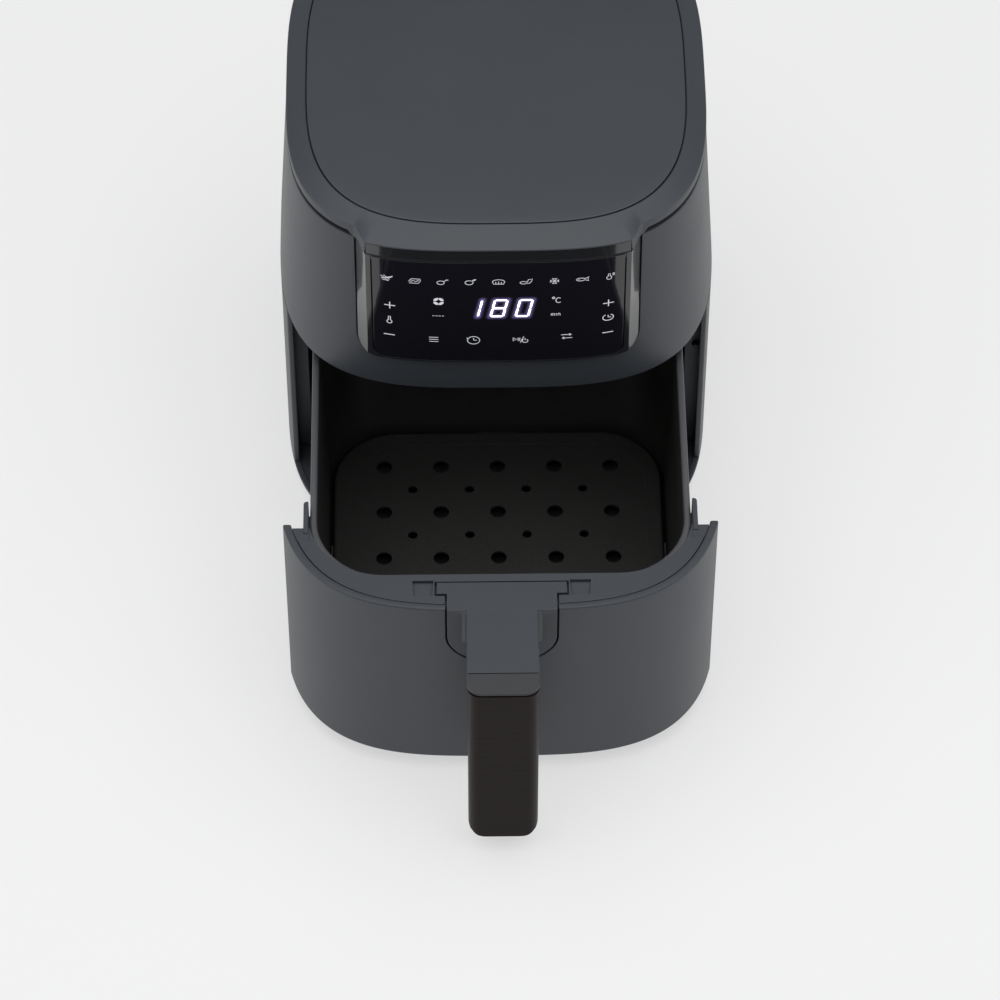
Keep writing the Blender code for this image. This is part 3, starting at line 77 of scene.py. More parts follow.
def tabletop(half, colour, glow):
    """A flat table of translucent board that is lit a little from below, so that shadows on it stay light."""
    mesh = bpy.data.meshes.new("tabletop")
    corners = [(-half, -half, 0), (half, -half, 0), (half, half, 0), (-half, half, 0)]
    mesh.from_pydata(corners, [], [(0, 1, 2, 3)])
    paint = bpy.data.materials.new("tabletop")
    paint.use_nodes = True
    shader = paint.node_tree.nodes["Principled BSDF"]
    settings = {"Base Color": (*colour, 1), "Roughness": 0.9, "Specular IOR Level": 0.1}
    settings |= {"Emission Color": (1, 1, 1, 1), "Emission Strength": glow}
    for label, value in settings.items():
        shader.inputs[label].default_value = value
    mesh.materials.append(paint)
    table = bpy.data.objects.new("tabletop", mesh)
    bpy.context.scene.collection.objects.link(table)
    return table


def softbox(name, place, size, power):
    lamp = bpy.data.lights.new(name, "AREA")
    lamp.shape = "RECTANGLE"
    lamp.size, lamp.size_y = size
    lamp.energy = power
    holder = bpy.data.objects.new(name, lamp)
    holder.location = place
    holder.rotation_euler = (LIT_PLACE - Vector(place)).to_track_quat("-Z", "Y").to_euler()
    bpy.context.scene.collection.objects.link(holder)


tabletop(7, (0.36, 0.36, 0.36), 0.55)
softbox("softbox_left", (-1.8, -0.5, 0.3), (1.4, 0.5), 7)
softbox("softbox_right", (1.8, -0.4, 0.3), (1.4, 0.5), 6)
softbox("softbox_top", (0.0, -0.15, 1.5), (2.2, 1.8), 22)
sky = bpy.data.worlds.new("studio")
sky.use_nodes = True
backdrop = sky.node_tree.nodes["Background"]
backdrop.inputs["Color"].default_value = (0.92, 0.94, 0.97, 1)
backdrop.inputs["Strength"].default_value = 0.30
bpy.context.scene.world = sky
bpy.context.scene.view_settings.view_transform = "Standard"

# ---- Base tray --------------------------------------------------------------
# The tray is one injection moulding in anthracite plastic with a fine spark-eroded texture. Its rim stands
# up as a lip that the housing sits on, and two rails carry the basket as the drawer slides.

PLAN_POWER = 3.35  # of the superellipse that every shell follows in plan
WIDEST_SHARE = 14 / 29  # how far back the plan is widest, as a share of the body's depth
TURN_STEP = 1.25  # degrees between the points of a plan outline
CUT = 0.02  # how far a cutting tool reaches past what it cuts
shell_low, shell_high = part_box("upper_shell")
widest_y = shell_low.y + (shell_high.y - shell_low.y) * WIDEST_SHARE
turns = np.radians(np.arange(TURN_STEP / 2, 360, TURN_STEP))
front_of_all, behind_all = shell_low.y - CUT, shell_high.y + CUT


class Wire:
    """A node's output that arithmetic can be written on."""

    def __init__(self, graph, socket):
        self.graph, self.socket = graph, socket

    def maths(self, operation, *values):
        return self.graph.add("ShaderNodeMath", {"operation": operation}, dict(enumerate(values)))

    def __add__(self, other):
        return self.maths("ADD", self, other)

    def __sub__(self, other):
        return self.maths("SUBTRACT", self, other)

    def __rsub__(self, other):
        return self.maths("SUBTRACT", other, self)

    def __mul__(self, other):
        return self.maths("MULTIPLY", self, other)

    def __pow__(self, other):
        return self.maths("POWER", self, other)

    __radd__, __rmul__ = __add__, __mul__

    def absolute(self):
        return self.maths("ABSOLUTE", self)

    def above(self, limit):
        return self.maths("MAXIMUM", self, limit)

    def below(self, limit):
        return self.maths("MINIMUM", self, limit)

    def ramp(self, start, end):
        """0 before start and 1 after end, with a smooth rise between."""
        values = {"Value": self, "From Min": start, "From Max": end}
        return self.graph.add("ShaderNodeMapRange", {"interpolation_type": "SMOOTHSTEP"}, values)


class Graph:
    """A node tree under construction."""

    def __init__(self, tree):
        self.tree = tree

    def add(self, kind, settings=None, values=None, output=0):
        """A node of this type: its settings are set first, then the values or links of its sockets."""
        node = self.tree.nodes.new(kind)
        for name, value in (settings or {}).items():
            setattr(node, name, value)
        for key, value in (values or {}).items():
            named = {socket.identifier: socket for socket in node.inputs}
            socket = node.inputs[key] if isinstance(key, int) else named.get(key) or node.inputs[key]
            for item in value if isinstance(value, list) else [value]:
                if isinstance(item, Wire):
                    self.tree.links.new(item.socket, socket)
                else:
                    socket.default_value = item
        return Wire(self, node.outputs[output]) if node.outputs else None


class Finish(Graph):
    """A material under construction, with its Principled shader."""

    def __init__(self, name, colour, roughness, **constants):
        self.material = bpy.data.materials.new(name)
        self.material.use_nodes = True
        super().__init__(self.material.node_tree)
        self.shader = self.tree.nodes["Principled BSDF"]
        self.set("Base Color", (*colour, 1))
        self.set("Roughness", roughness)
        for key, value in constants.items():
            self.set(key.replace("_", " "), value)

    def set(self, name, value):
        if isinstance(value, Wire):
            self.tree.links.new(value.socket, self.shader.inputs[name])
        else:
            self.shader.inputs[name].default_value = value

    def places(self, scale=(1, 1, 1), centre=(0, 0, 0)):
        """Coordinates on the piece, measured from a centre and multiplied by a scale."""
        start = self.add("ShaderNodeTexCoord", output=3)
        shift = tuple(-place * times for place, times in zip(centre, scale))
        return self.add("ShaderNodeMapping", None, {"Vector": start, "Location": shift, "Scale": scale})

    def noise(self, scale, detail=2.0, stretch=(1, 1, 1)):
        values = {"Vector": self.places(stretch), "Scale": scale, "Detail": detail}
        return self.add("ShaderNodeTexNoise", None, values | {"Roughness": 0.55})

    def blend(self, share, first, second):
        """The first colour where share is 0 and the second where it is 1."""
        values = {"Factor_Float": share, "A_Color": first, "B_Color": second}
        return self.add("ShaderNodeMix", {"data_type": "RGBA"}, values, output=2)

    def emboss(self, height, depth):
        values = {"Height": height, "Distance": depth, "Strength": 1.0}
        self.set("Normal", self.add("ShaderNodeBump", None, values))


def shade(colour, times):
    return (*(part * times for part in colour), 1)


def moulded_plastic(name, colour, roughness, grain_depth=0.00006):
    """Injection-moulded plastic with a fine eroded grain, slightly uneven in gloss and shade."""
    finish = Finish(name, colour, roughness, Specular_IOR_Level=0.45)
    grain = finish.noise(2600, 1.0)
    cloud = finish.noise(22, 3.0)
    finish.set("Base Color", finish.blend(cloud, shade(colour, 0.93), shade(colour, 1.07)))
    finish.set("Roughness", roughness - 0.05 + 0.08 * cloud + 0.05 * grain)
    finish.emboss(grain, grain_depth)
    return finish.material


anthracite = moulded_plastic("anthracite_plastic", (0.038, 0.043, 0.051), 0.44)


def outline(half, front, back, power=PLAN_POWER):
    """A rounded plan outline, as points in X and Y at even turns about the widest line's middle."""
    across, along = np.cos(turns), np.sin(turns)
    reach = np.where(along < 0, widest_y - front, back - widest_y)
    radius = (np.abs(across / half) ** power + np.abs(along / reach) ** power) ** (-1 / power)
    return np.stack([radius * across, widest_y + radius * along], axis=1)


def at(points, z, shift=0.0):
    """A plan outline lifted to a height, and moved along Y."""
    return np.column_stack([points[:, 0], points[:, 1] + shift, np.broadcast_to(z, len(points))])


def shell_ring(inset, z, shift=0.0):
    return at(outline(shell_high.x - inset, shell_low.y + inset, shell_high.y - inset), z, shift)


def made_of(points, faces):
    mesh = bpy.data.meshes.new("shape")
    mesh.from_pydata([tuple(point) for point in points], [], faces)
    bm = bmesh.new()
    bm.from_mesh(mesh)
    bmesh.ops.recalc_face_normals(bm, faces=bm.faces)
    bm.to_mesh(mesh)
    bm.free()
    return mesh


def loft(rings, closed=True):
    """A wall through rings of as many points each: round to the first again, or else capped at both ends."""
    count, rows = len(rings[0]), len(rings)
    faces = []
    for row in range(rows if closed else rows - 1):
        low, high = row * count, (row + 1) % rows * count
        for k in range(count):
            following = (k + 1) % count
            faces.append((low + k, low + following, high + following, high + k))
    if not closed:
        faces.append(tuple(range(count)))
        faces.append(tuple(range((rows - 1) * count, rows * count)))
    return made_of(np.concatenate(rings), faces)


def walls(ring, profile, closed=True):
    """A loft of one kind of ring through pairs of its inset and its height."""
    return loft([ring(inset, z) for inset, z in profile], closed)


def prism(points, low, high, axis="Z"):
    """An outline extruded along an axis. Its points are (x, y), or (x, z) along Y, or (y, z) along X."""
    order = {"Z": (0, 1, 2), "Y": (0, 2, 1), "X": (2, 0, 1)}[axis]
    rings = []
    for place in (low, high):
        flat = np.column_stack([np.array(points, float), np.full(len(points), place)])
        rings.append(flat[:, order])
    return loft(rings, closed=False)


def block(low, high):
    """A box between two corners, which may stand either way round along X."""
    left, right = sorted((low[0], high[0]))
    plan = [(left, low[1]), (right, low[1]), (right, high[1]), (left, high[1])]
    return prism(plan, low[2], high[2])


def loose_object(name, mesh):
    made = bpy.data.objects.new(name, mesh)
    bpy.context.scene.collection.objects.link(made)
    return made


def applied(obj):
    """The plain mesh that obj's modifiers leave; obj itself goes."""
    bpy.context.view_layer.update()
    mesh = bpy.data.meshes.new_from_object(obj.evaluated_get(bpy.context.evaluated_depsgraph_get()))
    bpy.data.objects.remove(obj, do_unlink=True)
    return mesh


def boolean(mesh, tool, operation="DIFFERENCE"):
    body, cutter = loose_object("body", mesh), loose_object("tool", tool)
    modifier = body.modifiers.new("cut", "BOOLEAN")
    modifier.operation = operation
    modifier.object = cutter
    made = applied(body)
    bpy.data.objects.remove(cutter, do_unlink=True)
    return made


def soften(mesh, width, chosen=lambda place: True, angle=35, segments=2):
    """Rounds the sharp edges whose middle is chosen."""
    bm = bmesh.new()
    bm.from_mesh(mesh)
    bmesh.ops.remove_doubles(bm, verts=bm.verts, dist=width * 0.25)
    limit = math.radians(angle)
    edges = []
    for edge in bm.edges:
        if len(edge.link_faces) == 2 and edge.calc_face_angle() > limit:
            if chosen((edge.verts[0].co + edge.verts[1].co) / 2):
                edges.append(edge)
    bmesh.ops.bevel(
        bm,
        geom=edges,
        offset=width,
        offset_type="OFFSET",
        segments=segments,
        profile=0.5,
        affect="EDGES",
        clamp_overlap=False,
    )
    bm.to_mesh(mesh)
    bm.free()
    return mesh


def piece(name, mesh, material, angle=38):
    """A finished piece: smooth but for its sharp edges, with normals that favour its large faces."""
    mesh.materials.clear()
    mesh.materials.append(material)
    for polygon in mesh.polygons:
        polygon.use_smooth = True
        polygon.material_index = 0
    mesh.set_sharp_from_angle(angle=math.radians(angle))
    rough = loose_object(name + "_rough", mesh)
    weighting = rough.modifiers.new("normals", "WEIGHTED_NORMAL")
    weighting.keep_sharp = True
    made = applied(rough)
    made.name = name
    return loose_object(name, made)


GAP = 0.0003  # between pieces that touch
LIP_RISE = 0.0017
housing_low, housing_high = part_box("lower_housing")
lip_top = housing_low.z - GAP
floor_z = lip_top - LIP_RISE
tray_low, tray_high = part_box("base_tray")
LIP_WIDTH = 0.0035
tray_profile = [
    (0.0085, tray_low.z),
    (0.0076, tray_low.z),
    (0.0020, tray_low.z + 0.0025),
    (0.0006, floor_z - 0.0016),
    (0.0001, floor_z - 0.0006),
    (0.0, lip_top - 0.0006),
    (0.0002, lip_top - 0.0002),
    (0.0006, lip_top),
    (LIP_WIDTH - 0.0004, lip_top),
    (LIP_WIDTH - 0.0001, lip_top - 0.0002),
    (LIP_WIDTH, lip_top - 0.0005),
    (LIP_WIDTH, floor_z),
]
tray = walls(shell_ring, tray_profile, closed=False)
RAIL_X, RAIL_WIDTH, RAIL_SETBACK = 0.072, 0.008, 0.026
rail_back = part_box("bay_liner")[1].y - 0.006
for side in (-1, 1):
    low = (side * RAIL_X - RAIL_WIDTH / 2, shell_low.y + RAIL_SETBACK, floor_z - 0.001)
    rail = block(low, (side * RAIL_X + RAIL_WIDTH / 2, rail_back, tray_high.z))
    tray = boolean(tray, soften(rail, 0.0008), "UNION")
tray = piece("base_tray_moulding", tray, anthracite)
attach(tray, "housing")
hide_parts("base_tray")

# ---- Lower housing ----------------------------------------------------------
# The lower housing is a second moulding in the same plastic. It wraps round the back and ends in two thin
# cheeks beside the drawer, and a web behind each one closes the gap to the drawer bay.

CHEEK_WALL = 0.003
OPENING_HALF_WIDTH = 0.1185
WEB_SETBACK = 0.0144
GLAND_HOLE, PIN_HOLE = 0.0066, 0.0026
BEYOND = 0.2  # past every side of the appliance
web_y = housing_low.y + WEB_SETBACK
low_z, high_z = housing_low.z, housing_high.z
wall = walls(shell_ring, [(0, low_z), (0, high_z), (CHEEK_WALL, high_z), (CHEEK_WALL, low_z)])
wall = boolean(wall, block((-BEYOND, front_of_all, 0), (BEYOND, housing_low.y, BEYOND)))
wall = soften(wall, 0.0007, lambda place: place.y < housing_low.y + 0.001)
outer = shell_high.x - CHEEK_WALL - 0.0004
lower = wall
for side in (-1, 1):
    low, high = (side * OPENING_HALF_WIDTH, web_y, low_z), (side * outer, web_y + CHEEK_WALL, high_z)
    web = block(low, high)
    web = soften(web, 0.0006, lambda place: abs(place.x) < OPENING_HALF_WIDTH + 0.001)
    lower = boolean(lower, web, "UNION")
gland_low, gland_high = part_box("cord_gland")
gland_x, gland_z = (gland_low.x + gland_high.x) / 2, (gland_low.z + gland_high.z) / 2


def circle(radius, u=0.0, v=0.0, count=48):
    steps = np.linspace(0, 2 * np.pi, count, endpoint=False)
    return [(u + radius * math.cos(step), v + radius * math.sin(step)) for step in steps]


gland_hole = circle(GLAND_HOLE, gland_x, gland_z)
lower = boolean(lower, prism(gland_hole, shell_high.y - CUT, behind_all, "Y"))
pin_low, pin_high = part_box("switch_plunger")
pin_x, pin_z = (pin_low.x + pin_high.x) / 2, (pin_low.z + pin_high.z) / 2
pin_hole = circle(PIN_HOLE, pin_x, pin_z, 24)
lower = boolean(lower, prism(pin_hole, web_y - CHEEK_WALL, web_y + 2 * CHEEK_WALL, "Y"))
lower = piece("lower_housing_moulding", lower, anthracite)
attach(lower, "housing")
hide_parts("lower_housing")

# ---- Upper shell ------------------------------------------------------------
# The upper shell draws in slightly towards its top, so that it leaves its mould. It has an opening for the
# control panel that runs out through its top edge, and one at the back for the exhaust grille. A thin
# collar inside its top edge reaches up into the lid, and closes the shadow gap below the lid's rim.

SHELL_WALL = 0.003
SHELL_FLANGE = 0.0160  # how far its lower edge is turned in, its wall included
FLANGE_THICKNESS = 0.0025
COLLAR_OUTER, COLLAR_INNER, COLLAR_RISE = 0.0034, 0.0049, 0.0068
COLLAR_ROOT = 0.0030  # how far down the shell's wall the collar is joined to it
top_inset = 0.0077
bottom, top = shell_low.z, shell_high.z
panel_low, panel_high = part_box("panel_frame")
grille_low, grille_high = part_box("exhaust_grille")
JOINT = 0.0006
flank = [(top_inset * share, bottom + (top - bottom) * share) for share in np.linspace(0.01, 0.992, 10)]
shell_profile = [
    (0.0010, bottom),
    (0.0003, bottom + 0.0003),
    *flank,
    (top_inset + 0.0003, top - 0.0002),
    (top_inset + 0.0010, top),
    (top_inset + SHELL_WALL - 0.0004, top),
    (top_inset + SHELL_WALL, top - 0.0004),
    (SHELL_WALL, bottom + FLANGE_THICKNESS),
    (SHELL_FLANGE, bottom + FLANGE_THICKNESS),
    (SHELL_FLANGE, bottom),
]
upper = walls(shell_ring, shell_profile)
collar_profile = [
    (top_inset + 0.0020, top - COLLAR_ROOT),
    (top_inset + 0.0020, top - 0.0010),
    (top_inset + COLLAR_OUTER, top - 0.0010),
    (top_inset + COLLAR_OUTER, top + COLLAR_RISE),
    (top_inset + COLLAR_INNER, top + COLLAR_RISE),
    (top_inset + COLLAR_INNER, top - COLLAR_ROOT),
]
behind_panel = panel_high.x + 0.0030
mouth = block((-behind_panel, front_of_all, top - CUT), (behind_panel, shell_low.y + 0.08, top + CUT))
upper = boolean(upper, boolean(walls(shell_ring, collar_profile), mouth), "UNION")


def arc(u, v, radius, start, end, steps=12):
    """Points along an arc about (u, v), with its angles in degrees."""
    angles = np.radians(np.linspace(start, end, steps + 1))
    return [(u + radius * math.cos(angle), v + radius * math.sin(angle)) for angle in angles]


def rounded(half, low, high, radius, high_radius=0.001):
    """A rectangle about X = 0 with rounded corners, anticlockwise from its lower right corner."""
    return (
        arc(half - radius, low + radius, radius, -90, 0)
        + arc(half - high_radius, high - high_radius, high_radius, 0, 90)
        + arc(high_radius - half, high - high_radius, high_radius, 90, 180)
        + arc(radius - half, low + radius, radius, 180, 270)
    )


PANEL_RADIUS = 0.012
window = rounded(panel_high.x + JOINT, panel_low.z - JOINT, top + 2 * CUT, PANEL_RADIUS + JOINT)
upper = boolean(upper, prism(window, front_of_all, shell_low.y + 2.5 * CUT, "Y"))
slot_half = grille_high.x + JOINT
vent = rounded(slot_half, grille_low.z - JOINT, grille_high.z + JOINT, 0.0012, 0.0012)
upper = boolean(upper, prism(vent, shell_high.y - CUT, behind_all, "Y"))


def on_panel_window(place):
    close = place.y < shell_low.y + 0.030 and place.z < top - 0.0015
    return close and abs(place.x) < panel_high.x + 0.001 and place.z > panel_low.z - 0.001


upper = soften(upper, 0.0005, on_panel_window, angle=50)
upper = piece("upper_shell_moulding", upper, anthracite)
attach(upper, "housing")
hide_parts("upper_shell")

# ---- Lid --------------------------------------------------------------------
# The lid is a shallow cover whose rim floats a few millimetres over the shell's top edge. At the front it
# reaches forward as a thin tongue over the control panel, and its top slopes up to a seat for the inset
# plate.

lid_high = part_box("lid")[1]
plate_low, plate_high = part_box("lid_plate")
LID_SLOPE = 0.0055  # how far the lid rises from its rim to the plate's seat
SHADOW_GAP = 0.0038
TONGUE_SKIN, TONGUE_OVERHANG = 0.0012, 0.0017
SEAT_WIDTH, SEAT_THICKNESS = 0.006, 0.002
SIDE_STRIP = 0.0058  # width of the panel frame's sloping sides
PLATE_POWER = 3.2
rim_top = lid_high.z - LID_SLOPE
shadow_z = top + SHADOW_GAP
face_half = panel_high.x - SIDE_STRIP
tongue_half = panel_high.x + TONGUE_OVERHANG
PANEL_PROUD = 0.0015


def front_y(x, inset=0.0):
    """The Y of the body's front surface at this X."""
    reach = widest_y - shell_low.y - inset
    share = np.abs(x) / (shell_high.x - inset)
    return widest_y - reach * (1 - np.minimum(share, 1) ** PLAN_POWER) ** (1 / PLAN_POWER)


def lid_outline():
    """The lid's edge in plan. Between its rim and its tongue it bends in an S on each side."""
    body = outline(shell_high.x - top_inset, shell_low.y + top_inset, shell_high.y - top_inset)
    rim = [tuple(point) for point in body if point[0] > (tongue_half if point[1] < widest_y else 0)]
    rim.sort(key=lambda point: -math.atan2(point[1] - widest_y, point[0]))
    bend_end = face_half - 0.001
    start_y, end_y = front_y(tongue_half, top_inset), front_y(bend_end) - PANEL_PROUD
    bend = []
    for share in np.linspace(0, 1, 14):
        ease = share * share * (3 - 2 * share)
        bend.append((tongue_half + (bend_end - tongue_half) * share, start_y + (end_y - start_y) * ease))
    front = [(x, front_y(x) - PANEL_PROUD) for x in np.linspace(bend_end - 0.002, 0, 30)]
    right = rim + bend + front
    left = [(-x, y) for x, y in reversed(right[:-1])]
    points = np.array(right + left)
    return points[np.argsort(np.arctan2(points[:, 1] - widest_y, points[:, 0]))]


edge = lid_outline()
edge_turns = np.arctan2(edge[:, 1] - widest_y, edge[:, 0])


def drawn(points, inset):
    """A plan outline drawn in towards the middle by about an inset."""
    middle = np.array([0, widest_y])
    arms = points - middle
    lengths = np.linalg.norm(arms, axis=1, keepdims=True)
    return middle + arms * (1 - inset / lengths)


def plate_outline(inset):
    """The inset plate's edge, at the same turns as the lid's edge."""
    across, along = np.cos(edge_turns), np.sin(edge_turns)
    half = plate_high.x - inset
    reach = np.where(along < 0, widest_y - plate_low.y - inset, plate_high.y - widest_y - inset)
    radius = (
        np.abs(across / half) ** PLATE_POWER + np.abs(along / reach) ** PLATE_POWER
    ) ** (-1 / PLATE_POWER)
    return np.stack([radius * across, widest_y + radius * along], axis=1)


seat_top = lid_high.z
seat = plate_low.z - GAP
is_front = edge[:, 1] < widest_y
under_tongue = is_front & (np.abs(edge[:, 0]) < face_half + 0.0002)
on_bend = is_front & ~under_tongue & (np.abs(edge[:, 0]) < tongue_half + 0.0002)
rim_bottom = np.where(under_tongue, rim_top - TONGUE_SKIN, np.where(on_bend, top + GAP, shadow_z))
roof = np.maximum(rim_bottom, rim_top - 0.0025)
slope = []
for share in np.linspace(0, 1, 6):
    ring = drawn(edge, 0.0010) * (1 - share) + plate_outline(-JOINT - 0.0005) * share
    slope.append(at(ring, rim_top + (seat_top - rim_top) * (1.15 * share - 0.15 * share * share)))
lid = loft(
    [
        at(drawn(edge, 0.0003), rim_bottom),
        at(drawn(edge, 0.0), np.minimum(rim_bottom + 0.0003, rim_top - 0.0009)),
        at(drawn(edge, 0.0), rim_top - 0.0008),
        at(drawn(edge, 0.0003), rim_top - 0.0002),
        *slope,
        at(plate_outline(-JOINT), seat_top - 0.0004),
        at(plate_outline(-JOINT), seat),
        at(plate_outline(SEAT_WIDTH), seat),
        at(plate_outline(SEAT_WIDTH), seat - SEAT_THICKNESS),
        at(drawn(edge, 0.0032), roof),
        at(drawn(edge, 0.0026), rim_bottom),
    ]
)
lid = piece("lid_moulding", lid, anthracite)
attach(lid, "housing")
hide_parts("lid")

# ---- Lid plate --------------------------------------------------------------
# The plate is a separate, slightly crowned moulding clipped into the lid's seat, flush with its edge. A
# fine joint shows all round it.

CROWN = 0.0015
plate_edge = plate_high.z - CROWN
crowned = ((0.0002, 0), (0.0009, 0.0003), (0.006, 0.0005), (0.015, 0.0008), (0.030, 0.0011))
crowned += ((0.050, 0.0013), (0.075, 0.00145))
plate_profile = [
    (0.0004, plate_low.z),
    (0, plate_low.z + 0.0004),
    (0, plate_edge - 0.0005),
    *((inset, plate_edge + rise) for inset, rise in crowned),
]
plate = walls(lambda inset, z: at(plate_outline(inset), z), plate_profile, closed=False)
plate = piece("lid_plate_moulding", plate, anthracite)
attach(plate, "housing")
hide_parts("lid_plate")

# ---- Panel frame ------------------------------------------------------------
# The frame is moulded in high-gloss black. Its curved face stands just proud of the shell, its two sides
# slope back to it, and a plain band closes the top under the lid's tongue.

LIP = 0.0038  # from the sloping sides to the overlay
PANEL_DEPTH = 0.0075
PANEL_FOOT = 0.0015
POCKET_DEPTH = 0.0008
FACE_POINTS = 49


def drawn_in(z):
    """How far the upper shell's outside has drawn in at this height."""
    return top_inset * (z - bottom) / (top - bottom)


def bowed(half, front, back, count=FACE_POINTS):
    """A strip's plan outline that follows the body's curved front between two distances from it."""
    xs = np.linspace(-half, half, count)
    ahead = [(x, front_y(x) + front) for x in xs]
    return ahead + [(x, front_y(x) + back) for x in xs[::-1]]


def panel_section(z):
    """The frame's plan outline at a height."""
    strip = bowed(face_half, -PANEL_PROUD, PANEL_DEPTH)
    face, rear = strip[:FACE_POINTS], strip[FACE_POINTS:]
    edge, edge_y = panel_high.x, front_y(panel_high.x, drawn_in(z))
    right = [(edge, edge_y), (edge, edge_y + SHELL_WALL)]
    left = [(-x, y) for x, y in reversed(right)]
    return at(np.array(face + right + rear + left), z)


face_top = top - GAP
gloss = loft([panel_section(z) for z in np.linspace(panel_low.z, face_top, 9)], closed=False)
corner = rounded(panel_high.x + 0.0001, panel_low.z, face_top + CUT, PANEL_RADIUS)
panel_back = shell_low.y + 3 * CUT
gloss = boolean(gloss, prism(corner, front_of_all, panel_back, "Y"), "INTERSECT")
pocket_half, pocket_low = face_half - LIP + JOINT, panel_low.z + PANEL_FOOT
well = [(-pocket_half, front_of_all), (pocket_half, front_of_all)]
well += bowed(pocket_half, 0, POCKET_DEPTH)[FACE_POINTS:]
well = prism(well, pocket_low, face_top - GAP)
well_edge = rounded(pocket_half + 0.001, pocket_low, face_top + CUT, PANEL_RADIUS - 0.0024)
well = boolean(well, prism(well_edge, front_of_all - CUT, panel_back, "Y"), "INTERSECT")
gloss = boolean(gloss, well)


def on_face(place):
    proud = place.y < front_y(place.x) - PANEL_PROUD + 0.0002
    return proud and abs(place.x) < face_half + 0.0002 and place.z < face_top - 0.0002


gloss = soften(gloss, 0.0003, on_face, angle=18)
band = prism(bowed(face_half - 0.0005, 0.0005 - PANEL_PROUD, 0.006), face_top - 0.004, panel_high.z)
gloss = boolean(gloss, band, "UNION")
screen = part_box("display_module")
low = (screen[0].x - JOINT, front_of_all, screen[0].z - JOINT)
high = (screen[1].x + JOINT, shell_low.y + CUT, screen[1].z + JOINT)
gloss = boolean(gloss, block(low, high))
piano_black = Finish("gloss_black_plastic", (0.016, 0.017, 0.019), 0.12)
piano_black.set("Coat Roughness", 0.04)
piano_black.set("Coat Weight", 0.35 + 0.2 * piano_black.noise(60, 2.0))
piano_black.set("Roughness", 0.08 + 0.10 * piano_black.noise(35, 4.0))
piano_black.emboss(piano_black.noise(240, 1.0), 0.00001)
gloss = piece("panel_frame_moulding", gloss, piano_black.material, angle=30)
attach(gloss, "housing")
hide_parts("panel_frame")

# ---- Control overlay --------------------------------------------------------
# The overlay is a smoked gloss sheet, bent to the frame's curve and bonded into its pocket. The display
# shines through it, with a violet glow round its three slanted digits.

DIGIT_TOP, DIGIT_BOTTOM = 0.2433, 0.2275
DIGIT_HALF = 0.0044
DIGIT_STROKE = 0.0013
SLANT = 0.19
digit_middles = {"1": -0.0148, "8": 0.0003, "0": 0.0153}
digit_middle_z = (DIGIT_TOP + DIGIT_BOTTOM) / 2
stroke_x, stroke_z = DIGIT_HALF - DIGIT_STROKE / 2, (DIGIT_TOP - DIGIT_BOTTOM - DIGIT_STROKE) / 2
overlay_low, overlay_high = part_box("control_overlay")
OVERLAY_THICKNESS = 0.0020
smoked = Finish("smoked_overlay", (0.0085, 0.0085, 0.0125), 0.07, Coat_Weight=0.3, Coat_Roughness=0.03)
spot = smoked.places()
split = [smoked.add("ShaderNodeSeparateXYZ", None, {"Vector": spot}, output=k) for k in range(3)]
upright_x = split[0] - SLANT * (split[2] - digit_middle_z)


def box_distance(middle_x, middle_z, half_x, half_z):
    """Distance from a point on the overlay to a rectangle's edge, in the digits' slanted frame."""
    beyond_x = (upright_x - middle_x).absolute() - half_x
    beyond_z = (split[2] - middle_z).absolute() - half_z
    outside = (beyond_x.above(0) ** 2 + beyond_z.above(0) ** 2) ** 0.5
    inside = beyond_x.maths("MAXIMUM", beyond_x, beyond_z).below(0)
    return (outside + inside).absolute()


nearest = box_distance(digit_middles["1"] + stroke_x, digit_middle_z, 0.00005, stroke_z)
for glyph in ("8", "0"):
    ring = box_distance(digit_middles[glyph], digit_middle_z, stroke_x, stroke_z)
    nearest = nearest.maths("MINIMUM", nearest, ring)
bar = box_distance(digit_middles["8"], digit_middle_z, stroke_x, 0.00005)
nearest = nearest.maths("MINIMUM", nearest, bar)
glow = (1 - nearest.ramp(0.0002, 0.0042)) ** 2.4
smoked.set("Emission Color", smoked.blend(glow, (0.0, 0.0, 0.0, 1), (0.15, 0.115, 0.30, 1)))
smoked.set("Emission Strength", 1.0)
smoked.set("Roughness", 0.05 + 0.05 * smoked.noise(30, 4.0))

overlay = prism(
    bowed(overlay_high.x, -PANEL_PROUD, OVERLAY_THICKNESS - PANEL_PROUD, 65), overlay_low.z, overlay_high.z
)
corner = rounded(overlay_high.x + 0.001, overlay_low.z, overlay_high.z + CUT, PANEL_RADIUS - 0.003)
overlay = boolean(overlay, prism(corner, front_of_all, panel_back, "Y"), "INTERSECT")
overlay = soften(overlay, 0.0003, lambda place: place.y < front_y(place.x) - PANEL_PROUD + 0.0002)
overlay = piece("control_overlay_sheet", overlay, smoked.material, angle=30)
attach(overlay, "housing")
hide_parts("control_overlay")

# ---- Symbols ----------------------------------------------------------------
# The symbols are clear windows in the overlay's print, lit from behind: a row of programmes, a column of
# keys at each side, and a row along the bottom. The digits' segments are brighter windows of the same kind.

INK = 0.00006  # how far the lit windows stand out
LINE = 0.00045
ICON_PITCH = 0.0166


def on_overlay(points, proud):
    """Points in X and Z laid on the overlay's front surface."""
    return [(x, front_y(x) - PANEL_PROUD - proud, z) for x, z in points]


def spread_line(path, width):
    """A line of this width through points in X and Z, as two rows of edge points."""
    path = np.array(path, float)
    fine = []
    for start, end in zip(path[:-1], path[1:]):
        steps = max(1, int(np.linalg.norm(end - start) / 0.002))
        for k in range(steps):
            fine.append(start + (end - start) * k / steps)
    fine = np.array(fine + [path[-1]])
    ahead = np.gradient(fine, axis=0)
    ahead /= np.linalg.norm(ahead, axis=1, keepdims=True)
    across = np.column_stack([-ahead[:, 1], ahead[:, 0]]) * width / 2
    return fine + across, fine - across


